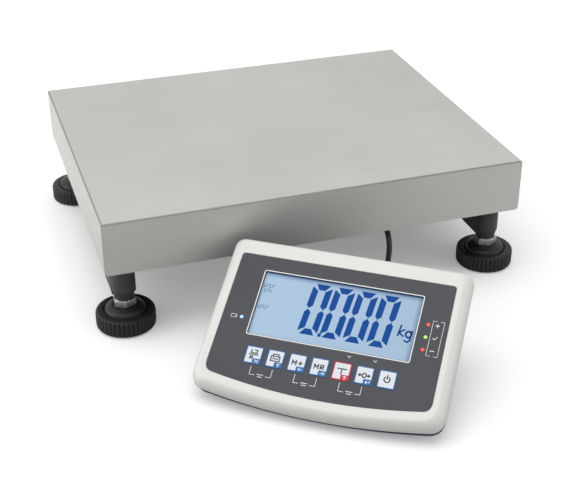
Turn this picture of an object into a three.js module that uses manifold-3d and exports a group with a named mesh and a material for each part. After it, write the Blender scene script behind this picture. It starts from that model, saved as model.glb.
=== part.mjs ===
// Bench scale: a stainless weighing platform on four levelling feet, and a
// separate desk-top display that a cable joins to it. Millimetres, +Z up.
import * as THREE from 'three';
import { mergeVertices } from 'three/addons/utils/BufferGeometryUtils.js';
import Module from 'manifold-3d';

const wasm = await Module();
wasm.setup();

// ---- driving dimensions -------------------------------------------------

const GAP = 0.3; // clearance between pieces that touch

// weighing plate, a folded tray with its skirts down
const PLATE_LENGTH = 500;
const PLATE_WIDTH = 400;
const PLATE_TOP = 147;
const SKIRT_DEPTH = 64;
const PLATE_SHEET = 1.5;
const PLATE_BEND = 2;
const PLATE_CORNER = 3;

// levelling feet
const FOOT_INSET_X = 23.7;
const FOOT_INSET_Y = 30.9;
const FOOT_RADIUS = 34.3;
const FOOT_WALL = 19.5;
const FOOT_EDGE = 2.5;
const FOOT_BOSS_TOP = 25.7;
const FOOT_SOCKET_FLOOR = 6;
const STUD_RADIUS = 8;
const STUD_TOP = 76;
const NUT_WALL = 4;
const NUT_HEIGHT = 9.7;

// lower frame
const LEG_RADIUS = 13.5;
const LEG_TIP_WALL = 2.2;
const LEG_TIP_HEIGHT = 10;
const LEG_BORE_TOP = 80;
const RAIL_BOTTOM = 40;
const RAIL_TOP = 88;
const FRAME_SHEET = 3;
const CROSSBAR_SETBACK = 34.1; // from the legs' line
const CROSSBAR_BOTTOM = 62;
const CENTRE_BEAM_HALF = 30;
const CENTRE_BEAM_TOP = 78;

// load cell and its packing
const CELL_LENGTH = 150;
const CELL_WIDTH = 40;
const CELL_HEIGHT = 26;
const CELL_WAIST_RADIUS = 8;
const CELL_WAIST_SPREAD = 14;
const LOWER_SPACER = 6;
const UPPER_SPACER = 6;
const SPACER_LENGTH = 34;
const BOLT_RADIUS = 4;
const BOLT_HEAD_RADIUS = 6.5;
const BOLT_HEAD = 6;
const BOLT_SPREAD = 11;
const WASHER_PLATE = 3;

// carrier under the plate
const CARRIER_HEIGHT = 20;
const CARRIER_SHEET = 3;
const CARRIER_SIDE_SETBACK = 40; // from the plate's edge to a beam's middle
const CARRIER_BEAM_HALF = 12.5;
const CARRIER_END_SETBACK = 30;
const CARRIER_DECK_WIDTH = 190;
const BUMPER_SETBACK = 50;
const BUMPER_RADIUS = 8.5;
const STOP_INBOARD = 8.8; // from a rail's middle
const STOP_Y = 110;
const STOP_RADIUS = 3;
const STOP_NUT_RADIUS = 4.6;
const STOP_NUT = 5;
const STOP_CLEARANCE = 1;
const LEVEL_X = -60;
const LEVEL_RADIUS = 11;
const LEVEL_HEIGHT = 9;

// display housing, in its own face frame: u right, v up the face, w out of it
const FACE_TOP = 72.5;
const FACE_HALF_TOP = 126.2;
const FACE_HALF_BOTTOM = 128;
const FACE_CORNER = -98;
const FACE_BOTTOM = -107;
const CORNER_TOP = 12;
const CORNER_BOTTOM = 18;
const UPPER_SHELL = 16;
const SHELL_WALL = 2.5;
const SHELL_EDGE = 2;
const SIDE_SWELL = 5.8; // how far the sides stand out at the joint of the two shells
const END_SWELL = 3.6; // the same at the top edge and the foot
const SHELL_BACK = 45;
const SHELL_FRONT_DEPTH = 24;
const WEDGE_START = -58;
const LOWER_SHELL_INSET = 0.5;
const LOWER_SHELL_BAND = 8; // how deep its sides stay nearly upright
const PANEL_SIDE = 9;
const PANEL_TOP = 17.5;
const PANEL_BOTTOM = 12.5;
const PANEL_THICKNESS = 0.5;
const SCREEN_WIDTH = 172;
const SCREEN_HEIGHT = 74.5;
const SCREEN_SINK = 2.4;
const SCREEN_DEPTH = 6;
const KEY_COUNT = 7;
const KEY_PITCH = 23.5;
const KEY_WIDTH = 18.3;
const KEY_HEIGHT = 19.6;
const KEY_V = -60.4;
const KEY_U = -1.2;
const KEY_PROUD = 0.7;
const KEY_FLANGE = 1;
const KEY_GAP = 0.4;
const LAMP_U = 96.8;
const LAMP_V = -7.1;
const LAMP_PITCH = 14.2;
const LAMP_RADIUS = 2;
const CHARGE_LAMP_V = -20.3;
const BOARD_W = -12;
const BOARD_SIDE_GAP = 14;
const BOARD_END_GAP = 22;
const BATTERY_FLOOR_GAP = 4.5;
const BATTERY_HEIGHT = 20;
const BOARD_THICKNESS = 1.6;

// display on the bench: its yaw, its tilt and where its face centre is
const DISPLAY_YAW = THREE.MathUtils.degToRad(-36.2);
const DISPLAY_TILT = THREE.MathUtils.degToRad(31.6);
const DISPLAY_X = -37.2;
const DISPLAY_Y = -346.2;
const DISPLAY_Z = 80.3;

// folding desk stand behind the display
const HINGE_V = 52;
const HINGE_CLEARANCE = 1;
const HINGE_PIN_RADIUS = 2.5;
const HINGE_PIN_HALF = 71;
const KNUCKLE_RADIUS = 5;
const KNUCKLE_FROM = 40;
const KNUCKLE_TO = 66;
const LUG_WIDTH = 4.6;
const STAND_SHEET = 3;
const STAND_FOOT_BACK = 9;
const STAND_LIP = 11;
const STAND_NOTCH_HALF = 30;
const STAND_NOTCH_START = 22;
const PAD_SETBACK = 24;
const PAD_WIDTH = 9;
const PAD_HALF = 60;

// cable
const CABLE_RADIUS = 3.25;
const COIL_INNER = 22.75;
const COIL_OUTER = 48.75;
const COIL_HEIGHT = 14.5;
const COIL_U = -36.5;
const COIL_H = 148;
const GLAND_X = 88.7;
const GLAND_Z = 76;
const GLAND_OUT = 20.8;
const GLAND_RADIUS = 8;
const GLAND_FLANGE = 11;
const PLUG_U = 12;
const PLUG_V = 20;
const PLUG_OUT = 30;
const INLET_U = -75;
const INLET_RADIUS = 6;

// platform run, in the platform's frame, from the gland to the coil
const PLATFORM_RUN = [
  [88.7, -170.2, 76], [88.4, -179.6, 74], [87.8, -188, 68.4], [87.1, -193.6, 60],
  [86.4, -195.6, 50], [85.6, -195.8, 42], [84.6, -196.2, 34], [83.4, -197.6, 25.5],
  [81.6, -201.4, 16.5], [79, -207.4, 9.2], [76.2, -214.2, 5.2], [73, -221, 4],
];
// display run in the desk frame (u, back, up), from the plug to the coil
const DISPLAY_RUN = [
  [12, 56.6, 26.3], [12, 58.6, 23], [12, 60.8, 19.4], [12, 63, 15.8], [12, 68.4, 9.5],
  [12, 76.2, 5], [12, 85.1, 3.6], [12, 94, 3.5], [11.6, 103, 4], [10.8, 112, 5.4], [9.8, 121, 7.6],
];

// ---- sizes that follow --------------------------------------------------

const LEG_X = PLATE_LENGTH / 2 - FOOT_INSET_X;
const LEG_Y = PLATE_WIDTH / 2 - FOOT_INSET_Y;
const NUT_BOTTOM = FOOT_BOSS_TOP + GAP;
const NUT_ACROSS_FLATS = 2 * (STUD_RADIUS + NUT_WALL);
const LEG_BOTTOM = NUT_BOTTOM + NUT_HEIGHT + GAP;
const STUD_BORE = STUD_RADIUS + GAP;
const LEG_TIP_RADIUS = STUD_BORE + LEG_TIP_WALL;
const RAIL_INNER = LEG_X - LEG_RADIUS;
const CROSSBAR_Y = LEG_Y - CROSSBAR_SETBACK;
const CROSSBAR_FRONT = -CROSSBAR_Y - LEG_RADIUS;
const STOP_X = LEG_X - STOP_INBOARD;
const CELL_BOTTOM = CENTRE_BEAM_TOP + LOWER_SPACER + 2 * GAP;
const CELL_TOP = CELL_BOTTOM + CELL_HEIGHT;
const CARRIER_BOTTOM = CELL_TOP + UPPER_SPACER + 2 * GAP;
const CARRIER_TOP = CARRIER_BOTTOM + CARRIER_HEIGHT;
const CELL_END_Y = CELL_LENGTH / 2 - SPACER_LENGTH / 2;
const CARRIER_BEAM_X = PLATE_LENGTH / 2 - CARRIER_SIDE_SETBACK;
const CARRIER_BEAM_LENGTH = PLATE_WIDTH - 2 * CARRIER_END_SETBACK;
const BUMPER_Y = PLATE_WIDTH / 2 - BUMPER_SETBACK;
const SHELL_REAR_W = -SHELL_BACK;
const HINGE_W = SHELL_REAR_W - KNUCKLE_RADIUS - HINGE_CLEARANCE;

// ---- solids -------------------------------------------------------------

function toSolid(geometry) {
  const bare = geometry.clone();
  bare.deleteAttribute('normal');
  bare.deleteAttribute('uv');
  const merged = mergeVertices(bare, 1e-4);
  const vertProperties = new Float32Array(merged.attributes.position.array);
  const triVerts = new Uint32Array(merged.index.array);
  return new wasm.Manifold(new wasm.Mesh({ numProp: 3, vertProperties, triVerts }));
}

function toGeometry(solid) {
  const mesh = solid.getMesh();
  const geometry = new THREE.BufferGeometry();
  geometry.setAttribute('position', new THREE.BufferAttribute(Float32Array.from(mesh.vertProperties), 3));
  geometry.setIndex(new THREE.BufferAttribute(Uint32Array.from(mesh.triVerts), 1));
  geometry.computeVertexNormals();
  return geometry;
}

function join(...solids) {
  return solids.reduce((whole, piece) => whole.add(piece));
}

function cut(solid, ...tools) {
  return tools.reduce((left, tool) => left.subtract(tool), solid);
}

function block(x0, x1, y0, y1, z0, z1) {
  const box = new THREE.BoxGeometry(x1 - x0, y1 - y0, z1 - z0);
  box.translate((x0 + x1) / 2, (y0 + y1) / 2, (z0 + z1) / 2);
  return toSolid(box);
}

// A round bar along Z from z0 to z1, with its foot radius first.
function barZ(x, y, r0, r1, z0, z1, sides = 24) {
  const bar = new THREE.CylinderGeometry(r1, r0, z1 - z0, sides);
  bar.rotateX(Math.PI / 2);
  bar.translate(x, y, (z0 + z1) / 2);
  return toSolid(bar);
}

function barX(y, z, radius, x0, x1, sides = 20) {
  const bar = new THREE.CylinderGeometry(radius, radius, x1 - x0, sides);
  bar.rotateZ(Math.PI / 2);
  bar.translate((x0 + x1) / 2, y, z);
  return toSolid(bar);
}

function barY(x, z, radius, y0, y1, sides = 20) {
  const bar = new THREE.CylinderGeometry(radius, radius, y1 - y0, sides);
  bar.translate(x, (y0 + y1) / 2, z);
  return toSolid(bar);
}

// A turned piece about Z from [radius, height] corners that close on the axis.
function turned(corners, sides = 32) {
  const lathe = new THREE.LatheGeometry(corners.map(([r, z]) => new THREE.Vector2(r, z)), sides);
  lathe.rotateX(Math.PI / 2);
  return toSolid(lathe);
}

function prism(shape, from, to, curveSegments = 6) {
  const body = new THREE.ExtrudeGeometry(shape, { depth: to - from, bevelEnabled: false, curveSegments });
  body.translate(0, 0, from);
  return toSolid(body);
}

function roundedRectangle(width, height, radius) {
  const shape = new THREE.Shape();
  const x = width / 2;
  const y = height / 2;
  shape.moveTo(-x + radius, -y);
  shape.lineTo(x - radius, -y);
  shape.absarc(x - radius, -y + radius, radius, -Math.PI / 2, 0);
  shape.absarc(x - radius, y - radius, radius, 0, Math.PI / 2);
  shape.absarc(-x + radius, y - radius, radius, Math.PI / 2, Math.PI);
  shape.absarc(-x + radius, -y + radius, radius, Math.PI, 1.5 * Math.PI);
  return shape;
}

// A channel of folded sheet: a box with one long side open, at its foot or its top.
function channel(x0, x1, y0, y1, z0, z1, wall, openAt) {
  const hollowBottom = openAt === 'foot' ? z0 - 1 : z0 + wall;
  const hollowTop = openAt === 'foot' ? z1 - wall : z1 + 1;
  const alongX = x1 - x0 > y1 - y0;
  const endX = alongX ? -1 : wall;
  const endY = alongX ? wall : -1;
  const hollow = block(x0 + endX, x1 - endX, y0 + endY, y1 - endY, hollowBottom, hollowTop);
  return cut(block(x0, x1, y0, y1, z0, z1), hollow);
}

// ---- materials and naming -----------------------------------------------

const FINISHES = {
  stainless: { color: 0xc4c4c0, roughness: 0.35, metalness: 1 },
  frame_paint: { color: 0x3c413e, roughness: 0.55, metalness: 0.1 },
  black_plastic: { color: 0x1c1c1d, roughness: 0.5, metalness: 0 },
  zinc: { color: 0xb9bcbc, roughness: 0.35, metalness: 1 },
  rubber: { color: 0x202020, roughness: 0.85, metalness: 0 },
  aluminium: { color: 0xb8babd, roughness: 0.4, metalness: 1 },
  cable: { color: 0x3a3b3a, roughness: 0.6, metalness: 0 },
  white_plastic: { color: 0xe6e5df, roughness: 0.45, metalness: 0 },
  navy_plastic: { color: 0x2a3166, roughness: 0.45, metalness: 0 },
  panel_film: { color: 0x55565b, roughness: 0.5, metalness: 0 },
  screen: { color: 0xa3c6e6, roughness: 0.2, metalness: 0 },
  key_blue: { color: 0xf2f6fa, roughness: 0.45, metalness: 0 },
  key_red: { color: 0xf7eef0, roughness: 0.45, metalness: 0 },
  lamp: { color: 0xd8503a, roughness: 0.3, metalness: 0 },
  board: { color: 0x1f5a36, roughness: 0.6, metalness: 0 },
  battery: { color: 0x2f3b52, roughness: 0.6, metalness: 0 },
  vial: { color: 0xc9e26a, roughness: 0.15, metalness: 0 },
};

function piece(name, solid, finish) {
  const geometry = solid.isBufferGeometry ? solid : toGeometry(solid);
  const mesh = new THREE.Mesh(geometry, new THREE.MeshStandardMaterial(FINISHES[finish]));
  mesh.name = name;
  return mesh;
}

// ---- platform -----------------------------------------------------------

function weighingPlate() {
  const foot = PLATE_TOP - SKIRT_DEPTH;
  const outer = new THREE.ExtrudeGeometry(roundedRectangle(PLATE_LENGTH, PLATE_WIDTH, PLATE_CORNER), {
    depth: SKIRT_DEPTH,
    bevelEnabled: true,
    bevelThickness: PLATE_BEND,
    bevelSize: PLATE_BEND,
    bevelOffset: -PLATE_BEND,
    bevelSegments: 3,
    curveSegments: 2,
  });
  outer.translate(0, 0, foot - PLATE_BEND);
  const x = PLATE_LENGTH / 2 - PLATE_SHEET;
  const y = PLATE_WIDTH / 2 - PLATE_SHEET;
  const inside = block(-x, x, -y, y, foot - 1, PLATE_TOP - PLATE_SHEET);
  const below = block(-PLATE_LENGTH, PLATE_LENGTH, -PLATE_WIDTH, PLATE_WIDTH, foot - 10, foot);
  return piece('weighing_plate', cut(toSolid(outer), inside, below), 'stainless');
}

function bumpers(group) {
  for (const [name, x, y] of cornerNames(CARRIER_BEAM_X, BUMPER_Y)) {
    const from = CARRIER_BOTTOM + CARRIER_SHEET + GAP;
    const post = barZ(x, y, BUMPER_RADIUS, BUMPER_RADIUS, from, PLATE_TOP - PLATE_SHEET - GAP, 20);
    group.add(piece(`plate_bumper_${name}`, post, 'rubber'));
  }
}

function cornerNames(x, y) {
  return [
    ['front_left', -x, -y],
    ['front_right', x, -y],
    ['rear_left', -x, y],
    ['rear_right', x, y],
  ];
}

function carrier(group) {
  const halfLength = CARRIER_BEAM_LENGTH / 2;
  for (const [name, side] of [['left', -1], ['right', 1]]) {
    const x = side * CARRIER_BEAM_X;
    const beam = channel(
      x - CARRIER_BEAM_HALF, x + CARRIER_BEAM_HALF, -halfLength, halfLength,
      CARRIER_BOTTOM, CARRIER_TOP, CARRIER_SHEET, 'top',
    );
    group.add(piece(`carrier_beam_${name}`, beam, 'frame_paint'));
  }
  const reach = CARRIER_BEAM_X - CARRIER_BEAM_HALF - GAP;
  const half = CARRIER_DECK_WIDTH / 2;
  const deck = channel(-reach, reach, -half, half, CARRIER_BOTTOM, CARRIER_TOP, CARRIER_SHEET, 'top');
  const holes = boltHoles(CELL_END_Y, CARRIER_BOTTOM - 1, CARRIER_BOTTOM + CARRIER_SHEET + 1);
  group.add(piece('carrier_deck', cut(deck, ...holes), 'frame_paint'));
}

// Clearance holes for one end's pair of load-cell bolts.
function boltHoles(y, z0, z1) {
  const radius = BOLT_RADIUS + GAP;
  return [-1, 1].map((side) => barZ(side * BOLT_SPREAD, y, radius, radius, z0, z1, 16));
}

function loadCell(group) {
  const half = CELL_LENGTH / 2;
  const middle = (CELL_BOTTOM + CELL_TOP) / 2;
  const wide = CELL_WIDTH / 2;
  const waist = [-1, 1].map((side) => {
    return barX(side * CELL_WAIST_SPREAD, middle, CELL_WAIST_RADIUS, -wide - 1, wide + 1);
  });
  const slot = block(-wide - 1, wide + 1, -CELL_WAIST_SPREAD, CELL_WAIST_SPREAD, middle - 2, middle + 2);
  const beam = block(-wide, wide, -half, half, CELL_BOTTOM, CELL_TOP);
  const tappings = [
    ...boltHoles(-CELL_END_Y, CELL_BOTTOM - 1, CELL_TOP - 4),
    ...boltHoles(CELL_END_Y, CELL_BOTTOM + 4, CELL_TOP + 1),
  ];
  group.add(piece('load_cell', cut(beam, ...waist, slot, ...tappings), 'aluminium'));

  const lower = spacer(-CELL_END_Y, CENTRE_BEAM_TOP + GAP, CELL_BOTTOM - GAP);
  const upper = spacer(CELL_END_Y, CELL_TOP + GAP, CARRIER_BOTTOM - GAP);
  group.add(piece('load_cell_lower_spacer', lower, 'zinc'));
  group.add(piece('load_cell_upper_spacer', upper, 'zinc'));

  const web = CENTRE_BEAM_TOP - FRAME_SHEET - GAP;
  const lowerBolts = boltPair(-CELL_END_Y, web - WASHER_PLATE, web, -1, CELL_BOTTOM + 16);
  const floor = CARRIER_BOTTOM + CARRIER_SHEET + GAP;
  const upperBolts = boltPair(CELL_END_Y, floor, floor + WASHER_PLATE, 1, CELL_TOP - 16);
  group.add(piece('load_cell_lower_bolts', lowerBolts, 'zinc'));
  group.add(piece('load_cell_upper_bolts', upperBolts, 'zinc'));
}

function spacer(y, z0, z1) {
  const wide = CELL_WIDTH / 2 - 1;
  const half = SPACER_LENGTH / 2 - 1;
  return cut(block(-wide, wide, y - half, y + half, z0, z1), ...boltHoles(y, z0 - 1, z1 + 1));
}

// Two bolts on one washer plate; up is 1 when their heads point up.
function boltPair(y, z0, z1, up, tip) {
  const wide = CELL_WIDTH / 2 - 1;
  const plate = block(-wide, wide, y - BOLT_HEAD_RADIUS, y + BOLT_HEAD_RADIUS, z0, z1);
  const headFrom = up > 0 ? z1 - 0.5 : z0 - BOLT_HEAD;
  const headTo = up > 0 ? z1 + BOLT_HEAD : z0 + 0.5;
  const low = Math.min(tip, z1 - 0.5);
  const high = Math.max(tip, z0 + 0.5);
  const bolts = [-1, 1].flatMap((side) => [
    barZ(side * BOLT_SPREAD, y, BOLT_HEAD_RADIUS, BOLT_HEAD_RADIUS, headFrom, headTo, 6),
    barZ(side * BOLT_SPREAD, y, BOLT_RADIUS, BOLT_RADIUS, low, high, 12),
  ]);
  return join(plate, ...bolts);
}

function lowerFrame(group) {
  for (const [name, side] of [['left', -1], ['right', 1]]) {
    group.add(piece(`base_rail_${name}`, baseRail(side * LEG_X), 'frame_paint'));
  }
  const reach = RAIL_INNER - GAP;
  for (const [name, side] of [['front', -1], ['rear', 1]]) {
    const y = side * CROSSBAR_Y;
    let bar = channel(
      -reach, reach, y - LEG_RADIUS, y + LEG_RADIUS, CROSSBAR_BOTTOM, RAIL_TOP, FRAME_SHEET, 'foot',
    );
    if (side < 0) {
      const bore = GLAND_RADIUS + GAP;
      bar = cut(bar, barY(GLAND_X, GLAND_Z, bore, CROSSBAR_FRONT - 1, CROSSBAR_FRONT + FRAME_SHEET + 1));
    }
    group.add(piece(`base_crossbar_${name}`, bar, 'frame_paint'));
  }
  const half = CROSSBAR_Y - LEG_RADIUS - GAP;
  const beam = channel(
    -CENTRE_BEAM_HALF, CENTRE_BEAM_HALF, -half, half, CROSSBAR_BOTTOM, CENTRE_BEAM_TOP, FRAME_SHEET, 'foot',
  );
  const holes = boltHoles(-CELL_END_Y, CENTRE_BEAM_TOP - FRAME_SHEET - 1, CENTRE_BEAM_TOP + 1);
  group.add(piece('base_centre_beam', cut(beam, ...holes), 'frame_paint'));
}

// One side rail with the two round legs that are welded to its ends.
function baseRail(x) {
  const rail = channel(
    x - LEG_RADIUS, x + LEG_RADIUS, -LEG_Y, LEG_Y, RAIL_BOTTOM, RAIL_TOP, FRAME_SHEET, 'foot',
  );
  const tipTop = LEG_BOTTOM + LEG_TIP_HEIGHT;
  const legs = [-LEG_Y, LEG_Y].flatMap((y) => [
    barZ(x, y, LEG_RADIUS, LEG_RADIUS, tipTop, RAIL_TOP),
    barZ(x, y, LEG_TIP_RADIUS, LEG_RADIUS, LEG_BOTTOM, tipTop),
  ]);
  const bores = [-LEG_Y, LEG_Y].map((y) => barZ(x, y, STUD_BORE, STUD_BORE, LEG_BOTTOM - 1, LEG_BORE_TOP));
  return cut(join(rail, ...legs), ...bores);
}

function overloadStops(group) {
  for (const [name, x, y] of cornerNames(STOP_X, STOP_Y)) {
    const nutTop = RAIL_TOP + GAP + STOP_NUT;
    const nut = barZ(x, y, STOP_NUT_RADIUS, STOP_NUT_RADIUS, RAIL_TOP + GAP, nutTop, 6);
    const pin = barZ(x, y, STOP_RADIUS, STOP_RADIUS, nutTop - 1, CARRIER_BOTTOM - STOP_CLEARANCE, 12);
    group.add(piece(`overload_stop_${name}`, join(nut, pin), 'zinc'));
  }
}

function levellingFeet(group) {
  const disc = turned([
    [0, 0],
    [FOOT_RADIUS - FOOT_EDGE, 0],
    [FOOT_RADIUS, FOOT_EDGE],
    [FOOT_RADIUS, FOOT_WALL - FOOT_EDGE],
    [FOOT_RADIUS - FOOT_EDGE, FOOT_WALL],
    [FOOT_RADIUS - 10.5, FOOT_WALL],
    [FOOT_RADIUS - 12.5, FOOT_WALL + 3],
    [NUT_ACROSS_FLATS / 2 + 2.5, FOOT_BOSS_TOP],
    [STUD_BORE, FOOT_BOSS_TOP],
    [STUD_BORE, FOOT_SOCKET_FLOOR],
    [0, FOOT_SOCKET_FLOOR],
  ], 36);
  const stud = barZ(0, 0, STUD_RADIUS, STUD_RADIUS, FOOT_SOCKET_FLOOR + GAP, STUD_TOP);
  const corner = NUT_ACROSS_FLATS / Math.sqrt(3);
  const nutTop = NUT_BOTTOM + NUT_HEIGHT;
  const nut = cut(
    barZ(0, 0, corner, corner, NUT_BOTTOM, nutTop, 6),
    barZ(0, 0, STUD_BORE, STUD_BORE, NUT_BOTTOM - 1, nutTop + 1),
  );
  for (const [name, x, y] of cornerNames(LEG_X, LEG_Y)) {
    const parts = [
      piece(`foot_disc_${name}`, disc, 'black_plastic'),
      piece(`foot_stud_${name}`, stud, 'zinc'),
      piece(`lock_nut_${name}`, nut, 'zinc'),
    ];
    for (const part of parts) {
      part.position.set(x, y, 0);
      group.add(part);
    }
  }
}

function bubbleLevel() {
  const from = RAIL_TOP + GAP;
  const cup = turned([
    [0, from],
    [LEVEL_RADIUS, from],
    [LEVEL_RADIUS, from + LEVEL_HEIGHT],
    [LEVEL_RADIUS - 2.5, from + LEVEL_HEIGHT],
    [LEVEL_RADIUS - 3, from + LEVEL_HEIGHT - 1],
    [0, from + LEVEL_HEIGHT - 0.4],
  ], 24);
  const level = piece('bubble_level', cup, 'vial');
  level.position.set(LEVEL_X, -CROSSBAR_Y, 0);
  return level;
}

function cableGland() {
  const gland = turned([
    [0, -GLAND_OUT],
    [CABLE_RADIUS + 1.6, -GLAND_OUT],
    [CABLE_RADIUS + 2.6, -12],
    [GLAND_RADIUS, -10.5],
    [GLAND_FLANGE, -8],
    [GLAND_FLANGE, -GAP],
    [GLAND_RADIUS, -GAP],
    [GLAND_RADIUS, FRAME_SHEET + 5],
    [0, FRAME_SHEET + 5],
  ], 20);
  const part = piece('cable_gland', gland, 'black_plastic');
  part.rotation.x = -Math.PI / 2;
  part.position.set(GLAND_X, CROSSBAR_FRONT, GLAND_Z);
  return part;
}

// ---- cable --------------------------------------------------------------

function cableRun(name, points, steps) {
  const curve = new THREE.CatmullRomCurve3(points.map(([x, y, z]) => new THREE.Vector3(x, y, z)));
  const section = new THREE.Shape();
  section.absarc(0, 0, CABLE_RADIUS, 0, 2 * Math.PI);
  const sweep = { steps, extrudePath: curve, bevelEnabled: false, curveSegments: 10 };
  const tube = new THREE.ExtrudeGeometry(section, sweep);
  return piece(name, toSolid(tube), 'cable');
}

function cableCoil() {
  const ring = new THREE.LatheGeometry([
    new THREE.Vector2(COIL_INNER, 0),
    new THREE.Vector2(COIL_OUTER, 0),
    new THREE.Vector2(COIL_OUTER, COIL_HEIGHT),
    new THREE.Vector2(COIL_INNER, COIL_HEIGHT),
    new THREE.Vector2(COIL_INNER, 0),
  ], 32);
  ring.rotateX(Math.PI / 2);
  const coil = piece('cable_coil', toSolid(ring), 'cable');
  coil.position.set(COIL_U, COIL_H, 0);
  return coil;
}

// ---- display ------------------------------------------------------------

// The face's outline: nearly straight sides, round corners and a bowed foot.
function faceOutline(side, top, foot) {
  const halfTop = FACE_HALF_TOP - side;
  const halfBottom = FACE_HALF_BOTTOM - side;
  const upper = FACE_TOP - top;
  const corner = FACE_CORNER + foot;
  const roundTop = Math.max(CORNER_TOP - Math.max(side, 0), 4);
  const roundBottom = Math.max(CORNER_BOTTOM - Math.max(side, 0), 5);
  const bow = 2 * (FACE_BOTTOM - FACE_CORNER) - 2;
  const shape = new THREE.Shape();
  shape.moveTo(-halfTop + roundTop, upper);
  shape.quadraticCurveTo(-halfTop, upper, -halfTop, upper - roundTop);
  shape.lineTo(-halfBottom, corner + roundBottom + 2);
  shape.quadraticCurveTo(-halfBottom, corner, -halfBottom + roundBottom, corner - 1);
  shape.quadraticCurveTo(0, corner + bow, halfBottom - roundBottom, corner - 1);
  shape.quadraticCurveTo(halfBottom, corner, halfBottom, corner + roundBottom + 2);
  shape.lineTo(halfTop, upper - roundTop);
  shape.quadraticCurveTo(halfTop, upper, halfTop - roundTop, upper);
  return shape;
}

function keyCentres() {
  const first = KEY_U - (KEY_PITCH * (KEY_COUNT - 1)) / 2;
  return Array.from({ length: KEY_COUNT }, (_, i) => first + i * KEY_PITCH);
}

function lampCentres() {
  return [1, 0, -1].map((step) => LAMP_V + step * LAMP_PITCH);
}

// Everything that passes through the face: the screen, the keys and the lamps.
function faceHoles(w0, w1) {
  const x = SCREEN_WIDTH / 2 + GAP;
  const y = SCREEN_HEIGHT / 2 + GAP;
  const keyX = KEY_WIDTH / 2 + KEY_GAP;
  const keyY = KEY_HEIGHT / 2 + KEY_GAP;
  const lamp = LAMP_RADIUS + GAP;
  return [
    block(-x, x, -y, y, w0, w1),
    ...keyCentres().map((u) => block(u - keyX, u + keyX, KEY_V - keyY, KEY_V + keyY, w0, w1)),
    ...lampCentres().map((v) => barZ(LAMP_U, v, lamp, lamp, w0, w1, 12)),
    barZ(-LAMP_U, CHARGE_LAMP_V, lamp, lamp, w0, w1, 12),
  ];
}

// The housing swells from its face to the joint of its two shells. Each stage is [swell from 0 to 1, inset, w].
function swelled(stages) {
  const slices = stages.map(([swell, inset, w]) => {
    const side = inset - swell * SIDE_SWELL;
    const end = inset - swell * END_SWELL;
    return prism(faceOutline(side, end, end), w - 0.01, w);
  });
  return wasm.Manifold.hull(slices);
}

function topShell() {
  const outer = swelled([
    [0, SHELL_EDGE, 0],
    [0, 0, -SHELL_EDGE],
    [0.75, 0, -UPPER_SHELL / 2],
    [1, 0, -UPPER_SHELL + 0.01],
  ]);
  const hollow = swelled([
    [0, SHELL_WALL, -SHELL_WALL],
    [0.75, SHELL_WALL, -UPPER_SHELL / 2],
    [1, SHELL_WALL, -UPPER_SHELL],
    [1, SHELL_WALL, -UPPER_SHELL - 1],
  ]);
  const pocket = prism(panelOutline(0), -PANEL_THICKNESS - GAP, 5);
  const shell = cut(outer, hollow, pocket, ...faceHoles(-10, 5));
  return piece('display_top_shell', shell, 'white_plastic');
}

function panelOutline(inset) {
  return faceOutline(PANEL_SIDE + inset, PANEL_TOP + inset, PANEL_BOTTOM + inset);
}

function facePanel() {
  const film = prism(panelOutline(GAP), -PANEL_THICKNESS, 0);
  return piece('face_panel', cut(film, ...faceHoles(-10, 5)), 'panel_film');
}

// The underside's slope, as a block to take away below a plane through (v, w).
function belowWedge(inset) {
  const rise = SHELL_BACK - SHELL_FRONT_DEPTH;
  const run = WEDGE_START - FACE_BOTTOM;
  const slope = Math.atan2(rise, run);
  const box = new THREE.BoxGeometry(400, 200, 60);
  box.translate(0, -100, -30);
  box.rotateX(-slope);
  box.translate(0, WEDGE_START, -SHELL_BACK);
  box.translate(0, inset * Math.sin(slope), inset * Math.cos(slope));
  return toSolid(box);
}

function bottomShell() {
  const inset = LOWER_SHELL_INSET;
  const wall = inset + SHELL_WALL;
  const joint = -UPPER_SHELL - GAP;
  const outer = swelled([
    [1, inset, joint],
    [0.9, inset, joint - LOWER_SHELL_BAND],
    [0, inset, SHELL_REAR_W + 0.01],
  ]);
  const hollow = swelled([
    [1, wall, -UPPER_SHELL + 1],
    [1, wall, joint],
    [0.9, wall, joint - LOWER_SHELL_BAND],
    [0, wall, SHELL_REAR_W + SHELL_WALL + 0.01],
  ]);
  const box = cut(outer, belowWedge(0));
  const space = cut(hollow, belowWedge(SHELL_WALL));
  const plug = GLAND_RADIUS + GAP;
  const inlet = INLET_RADIUS + GAP;
  const holes = [
    barZ(PLUG_U, PLUG_V, plug, plug, SHELL_REAR_W - 1, SHELL_REAR_W + SHELL_WALL + 1),
    barZ(INLET_U, PLUG_V, inlet, inlet, SHELL_REAR_W - 1, SHELL_REAR_W + SHELL_WALL + 1),
  ];
  const shell = cut(box, space, ...holes);
  const lugs = [-1, 1].flatMap((side) => [
    lug(side, KNUCKLE_TO + GAP),
    lug(side, KNUCKLE_FROM - GAP - LUG_WIDTH),
  ]);
  return piece('display_bottom_shell', join(shell, ...lugs), 'navy_plastic');
}

// One ear of the stand's hinge, from its inner face outwards.
function lug(side, from) {
  const to = from + LUG_WIDTH;
  const u0 = side > 0 ? from : -to;
  const u1 = side > 0 ? to : -from;
  const radius = KNUCKLE_RADIUS;
  const ear = block(u0, u1, HINGE_V - radius, HINGE_V + radius, HINGE_W - radius, SHELL_REAR_W + 0.5);
  return cut(ear, barX(HINGE_V, HINGE_W, HINGE_PIN_RADIUS + GAP, u0 - 1, u1 + 1));
}

function screen() {
  const x = SCREEN_WIDTH / 2;
  const y = SCREEN_HEIGHT / 2;
  return piece('lcd_screen', block(-x, x, -y, y, -SCREEN_SINK - SCREEN_DEPTH, -SCREEN_SINK), 'screen');
}

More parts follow.
